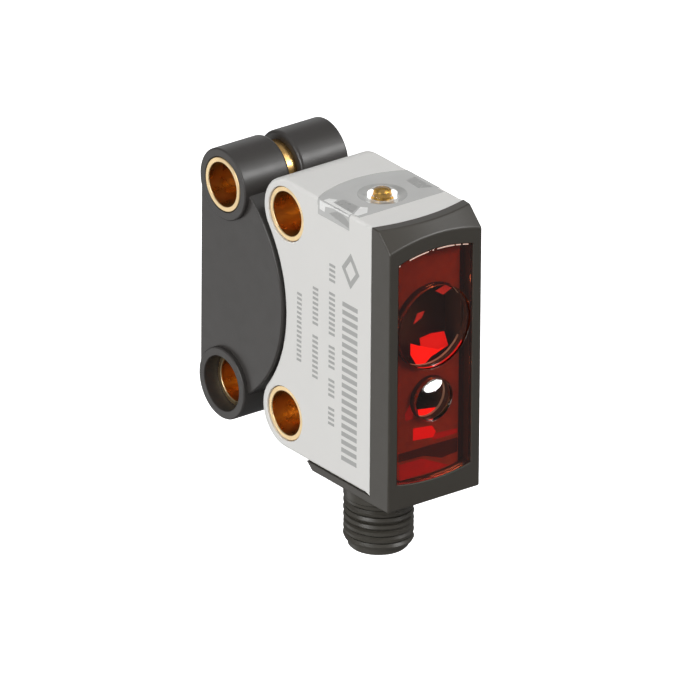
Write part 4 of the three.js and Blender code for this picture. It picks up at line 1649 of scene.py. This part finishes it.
# ------------------------------------------------------------------------------ side marks
@dataclass
class SideMarks:
    """Plain printed ticks and a plain diamond on the case's near side."""

    thickness: float = 0.015
    # The diamond's centre in Y and Z, its half height and its line's width.
    diamond: tuple[Point, float, float] = ((4.5, 16.9), 1.35, 0.34)
    # Each row's Y, its ticks' width and stroke, its top, its pitch and its groups' lengths.
    rows: tuple[tuple[float, float, float, float, float, tuple[float, ...]], ...] = (
        (4.53, 1.74, 0.34, 14.3, 0.62, (12.1,)),
        (6.60, 0.68, 0.20, 16.65, 0.38, (1.5, 3.4, 1.8, 1.6, 1.4)),
        (8.50, 0.62, 0.20, 14.2, 0.38, (3.2, 3.4)),
        (10.35, 0.52, 0.18, 13.1, 0.36, (5.4,)),
    )
    group_gap: float = 0.65

    def tick_tree(self) -> bpy.types.NodeTree:
        """Returns a tree that repeats a tick in a row that runs down from its first."""
        tree = bpy.data.node_groups.new("tick_row", "GeometryNodeTree")
        tree.interface.new_socket("Count", in_out="INPUT", socket_type="NodeSocketInt")
        for name in ("Start", "Size", "Step"):
            tree.interface.new_socket(name, in_out="INPUT", socket_type="NodeSocketVector")
        tree.interface.new_socket("Finish", in_out="INPUT", socket_type="NodeSocketMaterial")
        tree.interface.new_socket("Geometry", in_out="OUTPUT", socket_type="NodeSocketGeometry")
        given = add_node(tree, "NodeGroupInput").outputs
        line = add_node(
            tree, "GeometryNodeMeshLine",
            {"Count": given["Count"], "Start Location": given["Start"], "Offset": given["Step"]},
        )
        tick = add_node(tree, "GeometryNodeMeshCube", {"Size": given["Size"]})
        row = add_node(
            tree, "GeometryNodeInstanceOnPoints",
            {"Points": line.outputs[0], "Instance": tick.outputs[0]},
        )
        solid = add_node(tree, "GeometryNodeRealizeInstances", {"Geometry": row.outputs[0]})
        dressed = add_node(
            tree, "GeometryNodeSetMaterial",
            {"Geometry": solid.outputs[0], "Material": given["Finish"]},
        )
        add_node(tree, "NodeGroupOutput", {"Geometry": dressed.outputs[0]})
        return tree

    def build(self, case: Housing) -> None:
        """Prints the ticks and the diamond.

        Args:
            case: the case that they are printed on.
        """
        x = case.span.low.x
        tree = self.tick_tree()
        marks = bmesh.new()
        for y, width, stroke, start, pitch, groups in self.rows:
            z = start - stroke / 2
            for length in groups:
                count = max(1, round(length / pitch))
                mesh = grown(
                    tree,
                    {"Count": count, "Start": (x, y, z),
                     "Size": (2 * self.thickness, width, stroke), "Step": (0.0, 0.0, -pitch),
                     "Finish": Finishes.print_grey.material()},
                )
                marks.from_mesh(mesh)
                z -= count * pitch + self.group_gap
        (y, z), reach, line = self.diamond
        across = reach * 0.75
        outer = [(y + across, z), (y, z + reach), (y - across, z), (y, z - reach)]
        ring = Blank.prism(Axis.X, outer, x - self.thickness, x + self.thickness)
        ring.cut(Blank.prism(Axis.X, inset(outer, [line] * 4), x - PAST, x + PAST))
        marks.from_mesh(ring.mesh)
        blank = Blank.from_bmesh(marks)
        Piece("side_marks", Body.SENSOR, "housing_grey").place(blank.mesh, Finishes.print_grey)


# --------------------------------------------------------------------------- inner pieces
class Internals:
    """The pieces inside, which keep the frame's shapes and get their real finishes."""

    rows = (
        (Finishes.gold, ("laser_diode", "laser_lead_1", "laser_lead_2", "laser_lead_3",
                         "contact_pin_1", "contact_pin_2", "contact_pin_3", "contact_pin_4")),
        (Finishes.steel, ("laser_retainer", "shield_can")),
        (Finishes.board, ("main_board", "top_board")),
        (Finishes.chip, ("photodiode", "processor_chip", "driver_chip", "switch_base")),
        (Finishes.ceramic, ("capacitor_1", "capacitor_2", "capacitor_3")),
        (Finishes.led_green, ("status_led_green",)),
        (Finishes.led_yellow, ("status_led_yellow",)),
        (Finishes.rubber, ("button_seal", "connector_seal")),
        (Finishes.plug_pa, ("contact_carrier",)),
    )

    def build(self, nodes: dict[str, bpy.types.Object]) -> None:
        """Gives each piece its finish.

        Args:
            nodes: the frame's nodes by name.
        """
        for finish, names in self.rows:
            for name in names:
                node = nodes[name]
                if not node.data.materials:
                    node.data.materials.append(None)
                for slot in node.material_slots:
                    slot.material = finish.material()
                LOG.info("%s: %s", name, finish.name)


# ---------------------------------------------------------------------------------- studio
@dataclass
class Studio:
    """The camera, the white floor and the soft lights."""

    azimuth: float = 37.30
    elevation: float = 24.73
    roll: float = 0.445
    lens: float = 1200.0
    width: float = 46.916
    aim: Place = (0.0, 7.0, 10.0)
    aside: float = -2.580
    above: float = -0.112
    floor_drop: float = 30.0
    dim_side: float = 0.14
    bright_side: float = 0.36
    bright_way: Place = (-0.70, -0.45, 0.55)
    reach: float = 0.45

    def view(self) -> tuple[Vector, Vector, Vector]:
        """Returns the camera's right, up and viewing directions."""
        a, e = math.radians(self.azimuth), math.radians(self.elevation)
        look = Vector((math.sin(a) * math.cos(e), math.cos(a) * math.cos(e), -math.sin(e)))
        right = Vector((math.cos(a), -math.sin(a), 0.0))
        up = right.cross(look)
        r = math.radians(self.roll)
        return (
            right * math.cos(r) + up * math.sin(r),
            up * math.cos(r) - right * math.sin(r),
            look,
        )

    def add_camera(self) -> None:
        """Sets the camera well back, with a long lens."""
        right, up, look = self.view()
        aim = Vector(self.aim) + right * self.aside + up * self.above
        sensor = 36.0
        distance = self.width * self.lens / sensor
        place = Layout.to_frame() @ (aim - look * distance)
        data = bpy.data.cameras.new("camera")
        data.lens = self.lens
        data.sensor_width = sensor
        data.clip_start = 0.05
        data.clip_end = 100.0
        camera = bpy.data.objects.new("camera", data)
        turn = Matrix((right, up, -look)).transposed().to_4x4()
        camera.matrix_world = Matrix.Translation(place) @ turn
        bpy.context.scene.collection.objects.link(camera)
        bpy.context.scene.camera = camera

    def add_light(
        self, name: str, way: Place, size: tuple[float, float], glow: float
    ) -> bpy.types.Object:
        """Adds a softbox that faces the sensor.

        Args:
            name: the light's name.
            way: the direction that it stands in, seen from the sensor.
            size: its width and height in metres.
            glow: how bright its face is, where 1 is as bright as a lit white sheet.

        Returns:
            The light.
        """
        data = bpy.data.lights.new(name, "AREA")
        data.shape = "RECTANGLE"
        data.size, data.size_y = size
        data.energy = glow * math.pi * size[0] * size[1]
        light = bpy.data.objects.new(name, data)
        target = Layout.to_frame() @ Vector(self.aim)
        out = Vector(way).normalized()
        turn = (-out).to_track_quat("-Z", "Y").to_matrix().to_4x4()
        light.matrix_world = Matrix.Translation(target + out * self.reach) @ turn
        bpy.context.scene.collection.objects.link(light)
        return light

    def add_floor(self) -> None:
        """Lays a plain white floor well below the sensor, which is held by its side."""
        low = Layout.span("connector_body").low.z - self.floor_drop
        level = (Layout.to_frame() @ Vector((0, 0, low))).z
        mesh = bpy.data.meshes.new("floor")
        reach = 3.0
        corners = [
            (-reach, -reach, level), (reach, -reach, level),
            (reach, reach, level), (-reach, reach, level),
        ]
        mesh.from_pydata(corners, [], [(0, 1, 2, 3)])
        floor = bpy.data.objects.new("floor", mesh)
        made = bpy.data.materials.new("white_floor")
        made.use_nodes = True
        shader = made.node_tree.nodes["Principled BSDF"]
        shader.inputs["Base Color"].default_value = (0.9, 0.9, 0.9, 1)
        shader.inputs["Roughness"].default_value = 0.9
        shader.inputs["Emission Color"].default_value = (1, 1, 1, 1)
        shader.inputs["Emission Strength"].default_value = 0.9
        mesh.materials.append(made)
        bpy.context.scene.collection.objects.link(floor)
        floor.visible_glossy = False
        floor.visible_diffuse = False
        floor.visible_transmission = False

    def add_world(self) -> None:
        """Fills the room with soft white light, weaker towards the far side."""
        world = bpy.data.worlds.new("room")
        world.use_nodes = True
        tree = world.node_tree
        way = add_node(tree, "ShaderNodeTexCoord").outputs["Generated"]
        share = add_node(
            tree, "ShaderNodeVectorMath", {0: way, 1: Vector(self.bright_way).normalized()},
            operation="DOT_PRODUCT",
        ).outputs["Value"]
        level = add_node(
            tree, "ShaderNodeMapRange",
            {0: share, 1: -1.0, 2: 1.0, 3: self.dim_side, 4: self.bright_side},
        )
        sky = tree.nodes["Background"]
        sky.inputs["Color"].default_value = (1, 1, 1, 1)
        tree.links.new(level.outputs[0], sky.inputs["Strength"])
        bpy.context.scene.world = world

    def build(self) -> None:
        """Sets up the camera, the floor and the lights."""
        self.add_camera()
        self.add_floor()
        self.add_world()
        self.add_light("side_softbox", (-0.92, -0.25, 0.20), (0.22, 0.22), 7.8)
        self.add_light("front_softbox", (0.54, -0.68, 0.50), (0.17, 0.09), 15.0)
        self.add_light("ceiling_sheet", (0.0, 0.0, 1.0), (0.60, 0.60), 0.28)
        self.add_light("rear_sheet", (-0.55, 0.72, -0.42), (0.26, 0.26), 0.95)
        self.add_light("back_sheet", (0.50, 0.80, 0.25), (0.40, 0.30), 0.5)
        self.add_light("slope_sheet", (0.68, -0.38, 0.66), (0.18, 0.18), 2.2)
        self.add_light("edge_strip", (-0.80, -0.22, 0.56), (0.12, 0.05), 8.0)
        strip = self.add_light("lens_strip", (0.528, -0.807, -0.243), (0.150, 0.060), 75.0)
        strip.data.shape = "ELLIPSE"
        lit = bpy.data.collections.new("emitter_lens_only")
        lit.objects.link(bpy.data.objects["emitter_lens_clear"])
        strip.light_linking.receiver_collection = lit
        scene = bpy.context.scene
        scene.view_settings.view_transform = "Standard"
        scene.view_settings.look = "None"


def main() -> None:
    """Builds the sensor round its frame."""
    logging.basicConfig(level=logging.INFO, format="%(name)s: %(message)s")
    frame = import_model()
    Layout.settle()
    case, bezel, panel = Housing(), FrontFrame(), TeachPanel()
    case.build(panel)
    bezel.build(case)
    panel.build()
    FrontOptics().build(bezel)
    Sleeves().build()
    Adapter().build(case)
    Plug().build()
    SideMarks().build(case)
    Internals().build(frame["nodes"])
    Studio().build()


if __name__ == "__main__":
    main()
